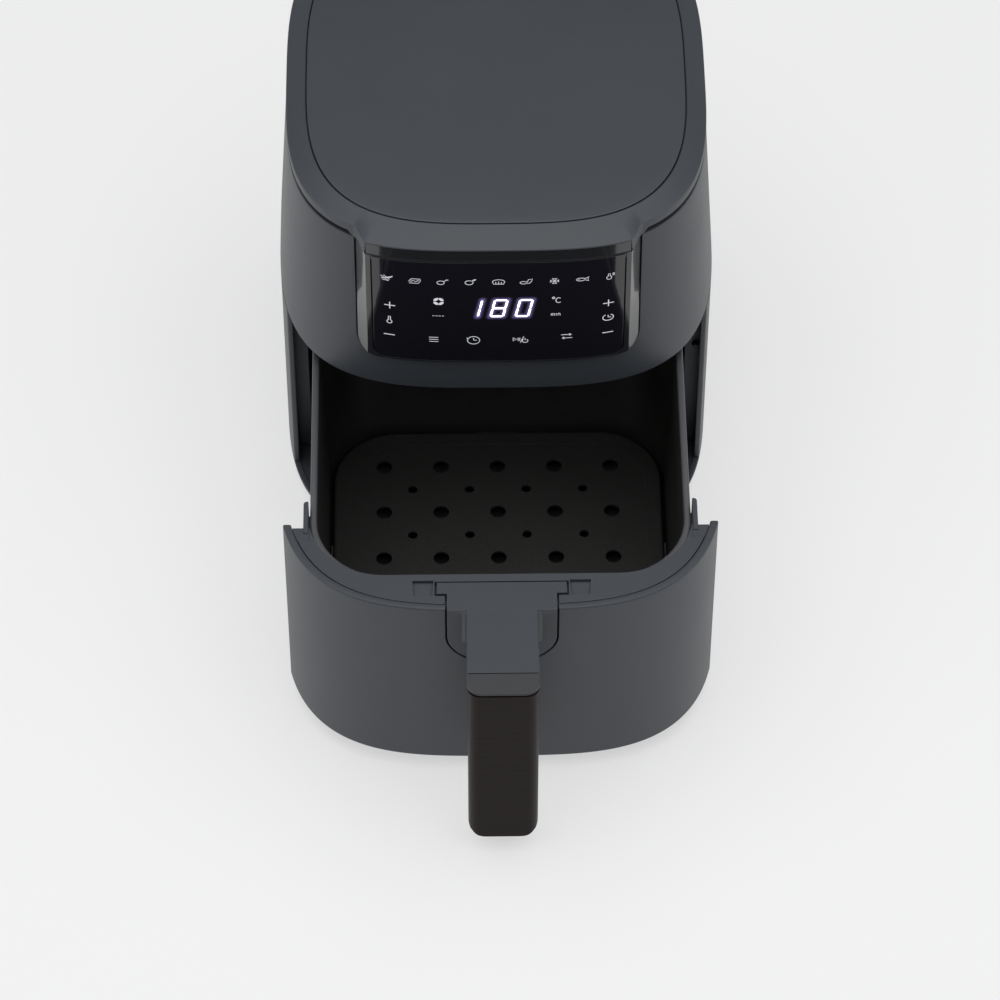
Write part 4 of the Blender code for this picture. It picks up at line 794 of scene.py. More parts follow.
def window_solid(left, right):
    """A thin solid on the overlay between two rows of edge points."""
    count = len(left)
    points = []
    for proud in (INK, -INK):
        points += on_overlay(left, proud) + on_overlay(right, proud)
    faces = [(0, count, 3 * count, 2 * count), (count - 1, 3 * count - 1, 4 * count - 1, 2 * count - 1)]
    for k in range(count - 1):
        a, b, c, d = k, k + 1, count + k + 1, count + k
        lift = 2 * count
        faces += [(a, b, c, d), (d + lift, c + lift, b + lift, a + lift)]
        faces += [(b, a, a + lift, b + lift), (d, c, c + lift, d + lift)]
    return points, faces


def loop(half_x, half_z, start=0, end=360, middle=(0, 0), steps=18):
    angles = np.radians(np.linspace(start, end, steps + 1))
    return [(middle[0] + half_x * math.cos(a), middle[1] + half_z * math.sin(a)) for a in angles]


icons = {
    "chips": [
        [(-3.6, 1.9), (0.6, -1.6)], [(-3.4, -0.6), (3.2, 1.4)], [(-2.0, 2.4), (1.8, -0.8)],
        [(-0.6, 0.4), (3.6, 2.3)], [(-2.6, -1.5), (1.2, -2.0)],
    ],
    "bacon": [
        [(-3.6, -0.6), (-2.0, 1.8), (3.5, 1.8)], [(-3.4, -2.0), (2.2, -2.0), (3.6, 0.8)],
        [(-2.6, -1.0), (-0.9, 0.6), (0.6, -0.8), (2.4, 0.9)],
    ],
    "drumstick": [
        loop(2.2, 1.6, 40, 400, (-1.2, -0.7)), [(0.4, 0.3), (2.4, 1.7), (2.2, 2.4)],
        [(2.4, 1.7), (3.4, 1.8)],
    ],
    "roast": [
        loop(2.4, 1.8, 50, 390, (-0.9, -0.5)), [(0.8, 0.9), (2.0, 2.2), (3.2, 2.3)],
        [(0.8, 0.9), (2.2, 1.4), (3.2, 2.3)],
    ],
    "cake": [
        loop(3.6, 1.9, 0, 180, (0, 0.1)), [(-3.6, 0.1), (-3.0, -1.9), (3.0, -1.9), (3.6, 0.1)],
        [(-1.6, -1.8), (-1.7, 0.0)], [(0.0, -1.8), (0.0, 0.2)], [(1.6, -1.8), (1.7, 0.0)],
    ],
    "prawn": [
        loop(2.0, 1.1, 20, 330, (-1.8, -0.9)),
        [(0.2, -0.6), (1.2, 1.8), (3.4, 2.3), (3.0, 0.2), (1.4, -1.6), (0.2, -1.4)],
    ],
    "frozen": [
        [(-2.6, 0), (2.6, 0)], [(-1.4, 2.4), (1.4, -2.4)], [(1.4, 2.4), (-1.4, -2.4)],
        [(-2.6, 1.0), (-1.7, 0), (-2.6, -1.0)], [(2.6, 1.0), (1.7, 0), (2.6, -1.0)],
        [(-0.6, 2.5), (0, 1.6), (0.6, 2.5)], [(-0.6, -2.5), (0, -1.6), (0.6, -2.5)],
    ],
    "fish": [
        loop(2.7, 1.2, 25, 335, (-0.9, 0)), [(1.5, 0.5), (3.9, 1.7), (3.3, 0), (3.9, -1.7), (1.5, -0.5)],
        [(-2.3, 0.3), (-1.9, -0.3)],
    ],
    "thaw": [
        loop(1.5, 1.5, 110, 430, (-0.6, -1.3)), [(-1.1, 0.1), (-1.1, 2.2), (-0.1, 2.2), (-0.1, 0.1)],
        loop(0.5, 0.5, 0, 360, (2.0, 1.8), 10), [(1.2, 0.6), (2.6, 0.6)],
    ],
}
plus = [[(-3.3, 0), (3.3, 0)], [(0, -2.9), (0, 2.9)]]
minus = [[(-3.3, 0), (3.3, 0)]]
thermometer = [loop(1.5, 1.5, 115, 425, (0, -1.7)), [(-0.6, -0.3), (-0.6, 2.9), (0.6, 2.9), (0.6, -0.3)]]
clock = [loop(3.2, 2.7, 120, 420), [(0, 2.0), (0, 0.1), (1.7, 0.1)]]
timer = [loop(3.7, 3.4, 150, 490), [(-4.2, 2.4), (-3.1, 1.5), (-2.3, 2.6)], [(0, 2.0), (0, 0.1), (2.0, 0.1)]]
menu = [[(-2.8, 1.9), (2.8, 1.9)], [(-2.8, 0), (2.8, 0)], [(-2.8, -1.9), (2.8, -1.9)]]
shake = [
    [(-3.4, 1.6), (2.6, 1.6)], [(1.4, 2.5), (2.8, 1.6), (1.4, 0.7)], [(3.4, -1.4), (-2.6, -1.4)],
    [(-1.4, -0.5), (-2.8, -1.4), (-1.4, -2.3)],
]
start_stop = [
    [(-4.2, 1.6), (-4.2, -1.2), (-2.2, 0.2), (-4.2, 1.6)], [(-1.2, 1.6), (-1.2, -1.2)],
    [(-0.2, 1.6), (-0.2, -1.2)], [(0.2, -2.8), (2.2, 2.6)], loop(1.7, 1.6, 130, 410, (3.0, -1.1)),
    [(3.0, 1.2), (3.0, -0.6)],
]
degrees_c = [loop(0.7, 0.8, 0, 360, (-1.7, 2.4), 12), loop(1.7, 2.2, 50, 310, (1.4, 0.2))]
minutes = [
    [(-3.0, -1.0), (-3.0, 1.0)], [(-3.0, 0.6), (-2.2, 1.0), (-2.0, -1.0)],
    [(-2.0, 0.6), (-1.2, 1.0), (-1.0, -1.0)], [(0, -1.0), (0, 1.0)], [(1.1, -1.0), (1.1, 1.0)],
    [(1.1, 0.5), (2.2, 1.0), (2.4, -1.0)],
]
dashes = [[(-3.8, 0), (-2.6, 0)], [(-1.9, 0), (-0.7, 0)], [(0.0, 0), (1.2, 0)], [(1.9, 0), (3.1, 0)]]
placed_symbols = [(strokes, (k - 4) * ICON_PITCH, 0.2590, 0.85) for k, strokes in enumerate(icons.values())]
placed_symbols += [
    (plus, -0.0650, 0.2350, 1.35),
    (thermometer, -0.0654, 0.2220, 1.1),
    (minus, -0.0657, 0.2084, 1.35),
    (plus, 0.0658, 0.2350, 1.35),
    (clock, 0.0658, 0.2220, 1.2),
    (minus, 0.0658, 0.2084, 1.35),
    (menu, -0.0390, 0.2070, 0.9),
    (timer, -0.0150, 0.2065, 1.0),
    (start_stop, 0.0130, 0.2068, 1.0),
    (shake, 0.0410, 0.2085, 1.0),
    (degrees_c, 0.0345, 0.2415, 1.1),
    (minutes, 0.0345, 0.2290, 0.85),
    (dashes, -0.0358, 0.2285, 0.8),
]
points, faces = [], []


def add_solid(left, right):
    fresh, sides = window_solid(left, right)
    faces.extend(tuple(k + len(points) for k in side) for side in sides)
    points.extend(fresh)


for strokes, middle_x, middle_z, weight in placed_symbols:
    for stroke in strokes:
        path = [(middle_x + x / 1000, middle_z + z / 1000) for x, z in stroke]
        add_solid(*spread_line(path, LINE * weight))
for turn in (45, 135, 225, 315):
    lean = math.radians(turn)
    u, v = math.cos(lean), math.sin(lean)
    middle = (-0.0358 + 0.0022 * u, 0.2415 + 0.0024 * v)
    wide = np.linspace(-1, 1, 9)
    swell = 0.0010 * np.sqrt(np.maximum(1 - wide**2, 0.02))
    spine_line = np.column_stack([middle[0] - wide * 0.0019 * v, middle[1] + wide * 0.0017 * u])
    arm = np.column_stack([u * swell, v * swell])
    add_solid(spine_line + arm, spine_line - arm)
symbols = piece("overlay_symbols", made_of(points, faces), smoked.material, angle=30)
white = Finish("lit_window", (0.62, 0.63, 0.66), 0.35)
white.set("Emission Color", white.blend(white.noise(300, 2.0), (0.22, 0.22, 0.24, 1), (0.34, 0.34, 0.36, 1)))
white.set("Emission Strength", 1.0)
symbols.data.materials[0] = white.material
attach(symbols, "housing")

segments = {"1": "bc", "8": "abcdefg", "0": "abcdef"}
corners = {
    "a": ((-1, 1), (1, 1)),
    "b": ((1, 1), (1, 0)),
    "c": ((1, 0), (1, -1)),
    "d": ((-1, -1), (1, -1)),
    "e": ((-1, 0), (-1, -1)),
    "f": ((-1, 1), (-1, 0)),
    "g": ((-1, 0), (1, 0)),
}
points, faces = [], []
for glyph, middle in digit_middles.items():
    for letter in segments[glyph]:
        start, end = np.array(corners[letter]) * (stroke_x, stroke_z)
        ahead = (end - start) / np.linalg.norm(end - start)
        across = np.array([-ahead[1], ahead[0]]) * DIGIT_STROKE / 2
        trim = ahead * 0.0002
        tip = ahead * DIGIT_STROKE / 2
        line = [start + trim, start + trim + tip, end - trim - tip, end - trim]
        widths = [0.12, 1, 1, 0.12]
        sides = []
        for sign in (1, -1):
            side = [place + sign * across * width for place, width in zip(line, widths)]
            side = [(middle + u + SLANT * v, digit_middle_z + v) for u, v in side]
            sides.append(side)
        add_solid(*sides)
digits = piece("display_digits", made_of(points, faces), smoked.material, angle=30)
lit = Finish("lit_segment", (0.9, 0.9, 0.95), 0.35)
lit.set("Emission Color", lit.blend(lit.noise(500, 1.0), (0.95, 0.90, 1.0, 1), (1.0, 0.97, 1.0, 1)))
lit.set("Emission Strength", 2.2)
digits.data.materials[0] = lit.material
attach(digits, "housing")

# ---- Drawer front -----------------------------------------------------------
# The drawer front is a curved moulding that wraps round both corners of the body, in the same plastic. A
# rib at its right side edge pushes the drawer switch, and a round-ended notch takes the handle's bracket.

drawer_low, drawer_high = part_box("drawer_front")
drawn_out = drawer_low.y - shell_low.y
WRAP_REACH = 0.066  # from the drawer's front to its side edges
DRAWER_WALL, FLANGE, FLOOR_THICKNESS = 0.0045, 0.008, 0.0025
BRACKET_JOINT = 0.0010
wrap_y = drawer_low.y + WRAP_REACH
SHIELD_HALF, SHIELD_WAIST, SHIELD_DROP = 0.0325, 0.133, 0.026


def shield_outline(grow):
    half, drop = SHIELD_HALF + grow, SHIELD_DROP + grow
    below = []
    for turn in np.linspace(0, np.pi, 49):
        below.append((half * math.cos(turn), SHIELD_WAIST - drop * math.sin(turn)))
    return [(half, drawer_high.z + CUT)] + below + [(-half, drawer_high.z + CUT)]


def drawer_ring(inset, z):
    return shell_ring(inset, z, drawn_out)


low_z, high_z = drawer_low.z, drawer_high.z
drawer_profile = [
    (0.0016, low_z),
    (0.0008, low_z + 0.0003),
    (0.0003, low_z + 0.0008),
    (0.0, low_z + 0.0016),
    (0.0, high_z - 0.0012),
    (0.00015, high_z - 0.0007),
    (0.0005, high_z - 0.0002),
    (0.0010, high_z),
    (DRAWER_WALL - 0.0009, high_z),
    (DRAWER_WALL - 0.0003, high_z - 0.0003),
    (DRAWER_WALL, high_z - 0.0009),
    (DRAWER_WALL, low_z + FLOOR_THICKNESS),
    (DRAWER_WALL + FLANGE, low_z + FLOOR_THICKNESS),
    (DRAWER_WALL + FLANGE, low_z),
]
front = walls(drawer_ring, drawer_profile)
front = boolean(front, block((-BEYOND, wrap_y, 0), (BEYOND, behind_all, BEYOND)))
front = soften(front, 0.0007, lambda place: place.y > wrap_y - 0.0005)
notch = prism(shield_outline(BRACKET_JOINT), drawer_low.y - CUT, drawer_low.y + CUT, "Y")
front = boolean(front, notch)


def on_notch(place):
    outside = place.y < drawer_low.y + 0.001 and place.z < high_z - 0.002
    return outside and abs(place.x) < SHIELD_HALF + 0.002


front = soften(front, 0.0005, on_notch, angle=50)
RIB_HALF_HEIGHT = 0.003
SLIDE_GAP = 0.0008  # between pieces that slide past each other
low = (pin_low.x - SLIDE_GAP, wrap_y - 2 * DRAWER_WALL, pin_z - RIB_HALF_HEIGHT)
rib = block(low, (shell_high.x - 0.0088, drawer_high.y, pin_z + RIB_HALF_HEIGHT))
trim = walls(drawer_ring, [(0.0038, pin_z - 0.004), (0.0038, pin_z + 0.004)], closed=False)
rib = boolean(soften(rib, 0.0005), trim, "INTERSECT")
front = boolean(front, rib, "UNION")
front = piece("drawer_front_moulding", front, anthracite)
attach(front, "drawer")
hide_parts("drawer_front")

# ---- Drawer ledge -----------------------------------------------------------
# The ledge fills the gap between the drawer front and the basket's rim. It carries the handle's T in a
# recess between two small pockets, and ends in an arm along each side of the basket.

ledge_low, ledge_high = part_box("drawer_ledge")
basket_low, basket_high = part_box("basket")
LEDGE_THICKNESS = 0.0032
BASKET_RADIUS = 0.045
TAB_HALF, TAB_FRONT, TAB_BACK = 0.0385, 0.0126, 0.0210
POCKET_X, POCKET_FRONT, POCKET_BACK = 0.0465, 0.0120, 0.0228
POCKET_HALVES = (0.0052, 0.0062)  # at its front and at its back
ARM_START, ARM_ROUND, HOOK_REACH = 0.006, 0.0020, 0.0012
STEP_LENGTH, STEP_DEPTH = 0.010, 0.0008
ledge_top = ledge_high.z


def basket_outline(inset, steps=20):
    low, high, half = basket_low.y + inset, basket_high.y - inset, basket_high.x - inset
    radius = BASKET_RADIUS - inset * 0.5
    turns_round = ((1, low, -90), (1, high, 0), (-1, high, 90), (-1, low, 180))
    points = []
    for side, y, start in turns_round:
        middle_y = y + radius if y == low else y - radius
        points += arc(side * (half - radius), middle_y, radius, start, start + 90, steps)
    return points


def tab_outline(grow):
    half, neck = TAB_HALF + grow, SHIELD_HALF + grow
    front, back = drawer_low.y + TAB_FRONT - grow, drawer_low.y + TAB_BACK + grow
    start = drawer_low.y - (0.0002 if grow == 0 else 0.010)
    right = [(neck, start), (neck, front), (half, front), (half, back)]
    return right + [(-x, y) for x, y in reversed(right)]


inset = DRAWER_WALL + GAP
ring = outline(shell_high.x - inset, shell_low.y + inset, shell_high.y - DRAWER_WALL)
ring = np.column_stack([ring[:, 0], ring[:, 1] + drawn_out])
ledge = prism(ring, ledge_top - LEDGE_THICKNESS, ledge_top)
ledge_end = wrap_y - 0.002
ledge = boolean(ledge, block((-BEYOND, ledge_end, 0), (BEYOND, behind_all, BEYOND)))
for side in (-1, 1):
    low = (side * basket_high.x, ledge_end - STEP_LENGTH, ledge_top - STEP_DEPTH)
    high = (side * (shell_high.x - DRAWER_WALL - 2 * STEP_DEPTH), ledge_end + CUT, ledge_top + CUT)
    ledge = boolean(ledge, block(low, high))
ledge = boolean(ledge, prism(basket_outline(-SLIDE_GAP), ledge_low.z - CUT, ledge_top + CUT))
arm_inner, arm_outer = basket_high.x + SLIDE_GAP, OPENING_HALF_WIDTH - SLIDE_GAP
arm_low, arm_start, arm_end = ledge_low.z, wrap_y - ARM_START, ledge_high.y
for side in (-1, 1):
    arm = [(arm_inner, arm_start), (arm_outer, arm_start)]
    arm += arc(arm_outer - ARM_ROUND, arm_end - ARM_ROUND, ARM_ROUND, 0, 90, 8)
    arm.append((arm_inner, arm_end))
    arm = prism([(side * x, y) for x, y in arm], arm_low, ledge_top)
    low = (side * (basket_high.x - HOOK_REACH), arm_start, arm_low)
    high = (side * (arm_inner + 0.001), arm_end - 2 * ARM_ROUND, basket_high.z - 0.0023)
    ledge = boolean(ledge, soften(block(low, high), 0.0003), "UNION")
    ledge = boolean(ledge, soften(arm, 0.0004, lambda place: place.y > wrap_y + 0.001), "UNION")
ledge = boolean(ledge, prism(tab_outline(BRACKET_JOINT), arm_low - CUT, ledge_top + CUT))
narrow, wide = POCKET_HALVES
for side in (-1, 1):
    pocket = [(-narrow, POCKET_FRONT), (narrow, POCKET_FRONT), (wide, POCKET_BACK), (-wide, POCKET_BACK)]
    pocket = [(side * POCKET_X + x, drawer_low.y + y) for x, y in pocket]
    ledge = boolean(ledge, prism(pocket, ledge_top - LEDGE_THICKNESS + 0.0010, ledge_top + CUT))
ledge = soften(ledge, 0.00035, lambda place: place.z > ledge_top - 0.0002 and place.y < wrap_y - 0.003)
ledge = piece("drawer_ledge_moulding", ledge, anthracite)
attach(ledge, "drawer")
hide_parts("drawer_ledge")

# ---- Basket -----------------------------------------------------------------
# The basket is deep-drawn from sheet steel, with rounded corners, slightly sloping sides and a rolled rim.
# It is sprayed inside and out with a dark, satin non-stick coating.

SHEET = 0.0018
coated = Finish("nonstick_coating", (0.030, 0.029, 0.028), 0.34, Specular_IOR_Level=0.6)
speck = coated.noise(900, 2.0)
height = coated.add("ShaderNodeSeparateXYZ", None, {"Vector": coated.places()}, output=2)
plain = coated.blend(speck.ramp(0.55, 0.75), (0.026, 0.025, 0.024, 1), (0.050, 0.048, 0.046, 1))
# The colour turns lighter and slightly bluer over the rolled rim's top, set by height alone.
rim_top_lighter = height.ramp(basket_high.z - 0.0035, basket_high.z - 0.0015)
coated.set("Base Color", coated.blend(rim_top_lighter, plain, (0.075, 0.076, 0.082, 1)))
coated.set("Roughness", 0.27 + 0.12 * coated.noise(14, 3.0))
coated.emboss(coated.noise(700, 2.0), 0.00004)
floor, rim = basket_low.z, basket_high.z
basket_profile = [
    (0.0180, floor),
    (0.0120, floor + 0.0006),
    (0.0088, floor + 0.0024),
    (0.0070, floor + 0.0050),
    (0.0062, floor + 0.0085),
    (0.0040, (floor + rim) / 2),
    (0.0024, rim - 0.0035),
    (0.0021, rim - 0.0027),
    (0.0015, rim - 0.0024),
    (0.0006, rim - 0.0021),
    (0.0001, rim - 0.0015),
    (0.0000, rim - 0.0009),
    (0.0003, rim - 0.0003),
    (0.0010, rim),
    (0.0026, rim),
    (0.0035, rim - 0.0003),
    (0.0040, rim - 0.0010),
    (0.0042, rim - 0.0024),
    (0.0040 + SHEET, (floor + rim) / 2),
    (0.0062 + SHEET, floor + 0.0095),
    (0.0074 + SHEET, floor + 0.0058),
    (0.0092 + SHEET, floor + 0.0034),
    (0.0125 + SHEET, floor + SHEET + 0.0004),
    (0.0180 + SHEET, floor + SHEET),
]


def basket_ring(inset, z):
    return at(np.array(basket_outline(inset)), z)


basket = walls(basket_ring, basket_profile, closed=False)
basket = piece("basket_shell", basket, coated.material, angle=50)
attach(basket, "drawer")
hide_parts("basket")

# ---- Handle bracket ---------------------------------------------------------
# The bracket is one moulding: a T laid in the ledge, a shield that fills the drawer front's notch, and the
# stem that reaches forward from it, held from below by a curved web.

STEM_HALF = 0.0213
STEM_REACH = 0.046
STEM_THICKNESS = 0.0125
WEB_DROP, WEB_REACH = 0.022, 0.026
TENON_INSET = 0.0012
ROOT_RADIUS = 0.0029  # of the rounded corners where the stem meets the shield
HOOK_HALF, RISER_HALF = 0.044, 0.025  # of the plate that locks the T from below, and of its riser
face_y = drawer_low.y
stem_bottom = high_z - STEM_THICKNESS
tab_bottom = ledge_top - LEDGE_THICKNESS
bracket = prism(tab_outline(0), tab_bottom, high_z)
bracket = soften(bracket, 0.0004, lambda place: place.z > high_z - 0.0001)
shield = [(x, min(z, high_z - 0.001)) for x, z in shield_outline(0)]
shield = prism(shield, face_y + 0.0002, face_y + 0.0035, "Y")
shield = soften(shield, 0.0005, lambda p: p.y < face_y + 0.0005 and p.z < high_z - 0.002, angle=50)
bracket = boolean(bracket, shield, "UNION")
low = (-STEM_HALF, face_y - STEM_REACH, stem_bottom)
stem = block(low, (STEM_HALF, face_y + 0.0030, high_z - 0.0002))
stem = soften(stem, 0.0009, lambda place: abs(place.x) > STEM_HALF - 0.0001, segments=3)
bracket = boolean(bracket, stem, "UNION")
cap_low, cap_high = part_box("handle_cap")
grip_low, grip_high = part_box("handle_grip")
tenon_half = STEM_HALF - TENON_INSET
low = (-tenon_half, grip_high.y + GAP, stem_bottom)
tenon = block(low, (tenon_half, face_y - STEM_REACH + 0.002, cap_low.z - GAP))
bracket = boolean(bracket, tenon, "UNION")
web = [(0.0010, stem_bottom + 0.003), (0.0010, stem_bottom - WEB_DROP)]
for turn in np.linspace(0, np.pi / 2, 17):
    web.append((-WEB_REACH * (1 - math.cos(turn)), stem_bottom - WEB_DROP * (1 - math.sin(turn))))
web.append((-WEB_REACH, stem_bottom + 0.003))
web = prism([(face_y + y, z) for y, z in web], 0.0001 - STEM_HALF, STEM_HALF - 0.0001, "X")
bracket = boolean(bracket, web, "UNION")
for side in (-1, 1):
    root = [(side * (STEM_HALF - 0.001), face_y + 0.001), (side * (STEM_HALF + 0.0030), face_y + 0.001)]
    middle = (side * (STEM_HALF + ROOT_RADIUS), face_y - 0.0027)
    root += arc(*middle, ROOT_RADIUS, 90, 180 if side > 0 else 0, 8)
    root.append((side * (STEM_HALF - 0.001), middle[1]))
    bracket = boolean(bracket, prism(root, stem_bottom - WEB_DROP + 0.004, high_z - 0.0006), "UNION")
hook = tab_bottom - 0.0005
lock = block((-HOOK_HALF, face_y + 0.0062, hook - 0.0025), (HOOK_HALF, face_y + 0.0235, hook))
riser = block((-RISER_HALF, face_y + 0.014, hook - 0.0005), (RISER_HALF, face_y + 0.019, hook + 0.0015))
bracket = boolean(boolean(bracket, lock, "UNION"), riser, "UNION")
bracket = piece("handle_bracket_moulding", bracket, anthracite)
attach(bracket, "drawer")
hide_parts("handle_bracket")

# ---- Handle cap -------------------------------------------------------------
# The cap is a thin plate that closes the top of the grip. It is drawn flat, and its slightly darker plastic
# is painted shade for the downward curve of its top. It sits on a tenon of the stem.

# A darker copy of the anthracite: painted shade for the cap's curved top, which is drawn flat here.
cap_shade = moulded_plastic("charcoal_plastic", (0.031, 0.032, 0.035), 0.44)
CAP_CORNER = 0.0085
cap = [(STEM_HALF, cap_high.y)] + arc(STEM_HALF - CAP_CORNER, cap_low.y + CAP_CORNER, CAP_CORNER, 0, -90, 14)
cap = cap + [(-x, y) for x, y in reversed(cap)]
cap = soften(prism(cap, cap_low.z, cap_high.z), 0.0005, angle=50, segments=3)
cap = piece("handle_cap_moulding", cap, cap_shade)
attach(cap, "drawer")
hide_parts("handle_cap")

# ---- Grip -------------------------------------------------------------------
# The grip is a dark brown front shell, brushed across in fine lines, clipped over a plain rear half. Its
# lower end is rounded in both directions.

GRIP_CORNER, GRIP_END, SPINE_CORNER = 0.0070, 0.0110, 0.006
grip_half = grip_high.x
brushed_brown = Finish("brushed_brown", (0.008, 0.005, 0.004), 0.42, Specular_IOR_Level=0.10)
lines = brushed_brown.noise(26, 4.0, stretch=(1, 1, 90))
dark, light = (0.0045, 0.0028, 0.0020, 1), (0.015, 0.0095, 0.0065, 1)
brushed_brown.set("Base Color", brushed_brown.blend(lines.ramp(0.3, 0.75), dark, light))
brushed_brown.set("Roughness", 0.30 + 0.22 * lines)
brushed_brown.emboss(lines, 0.00009)
section = [(grip_half, grip_high.y)]
section += arc(grip_half - GRIP_CORNER, grip_low.y + GRIP_CORNER, GRIP_CORNER, 0, -90, 14)
section = section + [(-x, y) for x, y in reversed(section)]
grip = prism(section, grip_low.z, grip_high.z)
end = rounded(grip_half + 0.0001, grip_low.z, grip_high.z + CUT, GRIP_END)
grip = boolean(grip, prism(end, grip_low.y - CUT, grip_high.y + CUT, "Y"), "INTERSECT")


def on_grip(place):
    return place.y < grip_high.y - 0.001 and place.z < grip_high.z - 0.001


grip = soften(grip, 0.0009, on_grip, angle=50, segments=3)
grip = piece("grip_front_shell", grip, brushed_brown.material, angle=45)
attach(grip, "drawer")
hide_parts("handle_grip")

spine_low, spine_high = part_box("handle_spine")
spine_half = spine_high.x
section = [(spine_half, spine_low.y), (-spine_half, spine_low.y)]
for side, start in ((-1, 180), (1, 90)):
    middle = (side * (spine_half - SPINE_CORNER), spine_high.y - SPINE_CORNER)
    section += arc(*middle, SPINE_CORNER, start, start - 90, 10)
spine = prism(section, spine_low.z, spine_high.z)
end = rounded(spine_half + 0.0001, spine_low.z, spine_high.z + CUT, GRIP_END - 0.0005)
spine = boolean(spine, prism(end, spine_low.y - CUT, spine_high.y + CUT, "Y"), "INTERSECT")


def on_spine(place):
    return place.y > spine_low.y + 0.001 and place.z < spine_high.z - 0.001


spine = soften(spine, 0.0008, on_spine, angle=50)
# The rear half reuses the cap's darker plastic, whose darkness stands in for shade on the cap.
spine = piece("grip_rear_shell", spine, cap_shade)
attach(spine, "drawer")
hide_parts("handle_spine")

# ---- Crisper plate ----------------------------------------------------------
# The crisper plate is pressed from sheet steel and coated like the basket. It stands upside down on the
# basket's floor, and its round holes let the hot air up through the food.

plate_lo, plate_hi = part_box("crisper_plate")
CRISPER_SHEET = 0.0012
LEG_HEIGHT, LEG_RADIUS, LEG_PLACE = 0.0030, 0.0035, 0.060
SMALL_HOLES = 0.6  # radius of the holes between, over that of the main ones
BORE_DEPTH = 0.006
skirt_low = plate_lo.z + LEG_HEIGHT
base_inset = basket_high.x - plate_hi.x


def geometry_tree(name, inputs):
    """A Geometry Nodes tree with named inputs after its geometry, its graph, and the wires of its inputs."""
    tree = bpy.data.node_groups.new(name, "GeometryNodeTree")
    tree.interface.new_socket("Geometry", in_out="INPUT", socket_type="NodeSocketGeometry")
    tree.interface.new_socket("Geometry", in_out="OUTPUT", socket_type="NodeSocketGeometry")
    for label, kind in inputs.items():
        tree.interface.new_socket(label, in_out="INPUT", socket_type=kind)
    graph = Graph(tree)
    entry = tree.nodes.new("NodeGroupInput")
    wires = {socket.name: Wire(graph, socket) for socket in entry.outputs if socket.name}
    return graph, wires


def close_tree(graph, wires, shape):
    """Ends a tree: everything real, in one material."""
    shape = graph.add("GeometryNodeRealizeInstances", None, {"Geometry": shape})
    shape = graph.add("GeometryNodeSetMaterial", None, {"Geometry": shape, "Material": wires["Material"]})
    graph.add("NodeGroupOutput", None, {0: shape})
    return graph.tree


def grown(name, mesh, tree, **values):
    """The plain mesh that a tree makes from this one, with its inputs set by name."""
    holder = loose_object(name + "_grown", mesh)
    modifier = holder.modifiers.new("nodes", "NODES")
    modifier.node_group = tree
    sockets = {item.name: item for item in tree.interface.items_tree if item.in_out == "INPUT"}
    for label, value in values.items():
        modifier[sockets[label.replace("_", " ")].identifier] = value
    return applied(holder)


sizes = {"Radius": "NodeSocketFloat", "Pitch": "NodeSocketFloat", "Row Pitch": "NodeSocketFloat"}
sizes |= {"Columns": "NodeSocketInt", "Rows": "NodeSocketInt"}
sizes |= {"Middle": "NodeSocketVector", "Material": "NodeSocketMaterial"}
graph, wires = geometry_tree("perforations", sizes)


def holes_through(columns, rows, radius):
    """Short rods on a grid round the middle, for cutting."""
    wide, deep = (columns - 1) * wires["Pitch"], (rows - 1) * wires["Row Pitch"]
    grid = {"Size X": wide, "Size Y": deep, "Vertices X": columns, "Vertices Y": rows}
    grid = graph.add("GeometryNodeMeshGrid", None, grid)
    grid = graph.add("GeometryNodeTransform", None, {"Geometry": grid, "Translation": wires["Middle"]})
    bore = graph.add(
        "GeometryNodeMeshCylinder", None, {"Vertices": 24, "Radius": radius, "Depth": BORE_DEPTH}
    )
    bores = graph.add("GeometryNodeInstanceOnPoints", None, {"Points": grid, "Instance": bore})
    return graph.add("GeometryNodeRealizeInstances", None, {"Geometry": bores})


main = holes_through(wires["Columns"], wires["Rows"], wires["Radius"])
between = holes_through(wires["Columns"] - 1, wires["Rows"] - 1, wires["Radius"] * SMALL_HOLES)
pressing = {"Mesh 1": wires["Geometry"], "Mesh 2": [main, between]}
cut_out = graph.add("GeometryNodeMeshBoolean", {"operation": "DIFFERENCE", "solver": "EXACT"}, pressing)
perforations = close_tree(graph, wires, cut_out)


def crisper_ring(inset, z):
    return basket_ring(base_inset + inset, z)


crisper_top = plate_hi.z
crisper_profile = [
    (CRISPER_SHEET, crisper_top - CRISPER_SHEET - 0.0008),
    (CRISPER_SHEET, skirt_low + 0.0002),
    (CRISPER_SHEET - 0.0003, skirt_low),
    (0.0003, skirt_low),
    (0.0, skirt_low + 0.0003),
    (0.0, crisper_top - 0.0022),
    (0.0003, crisper_top - 0.0011),
    (0.0010, crisper_top - 0.0004),
    (0.0022, crisper_top),
    (0.0100, crisper_top),
    (0.0108, crisper_top - 0.0003),
    (0.0112, crisper_top - 0.0005),
]
crisper = walls(crisper_ring, crisper_profile, closed=False)
middle_y = (plate_lo.y + plate_hi.y) / 2
crisper = grown(
    "crisper",
    crisper,
    perforations,
    Radius=0.0050,
    Pitch=0.036,
    Row_Pitch=0.037,
    Columns=5,
    Rows=5,
    Middle=(0, middle_y, crisper_top - 0.0015),
    Material=coated.material,
)
for x in (-LEG_PLACE, LEG_PLACE):
    for y in (middle_y - LEG_PLACE, middle_y + LEG_PLACE):
        leg = prism(circle(LEG_RADIUS, x, y, 20), plate_lo.z, crisper_top - 0.0010)
        crisper = boolean(crisper, soften(leg, 0.0006, lambda place: place.z < plate_lo.z + 0.0002), "UNION")
crisper = piece("crisper_pressing", crisper, coated.material, angle=35)
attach(crisper, "crisper")
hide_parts("crisper_plate")

# ---- Bumpers ----------------------------------------------------------------
# Four silicone bumpers are pushed into slots in the crisper plate's skirt, and keep it from scratching the
# basket.

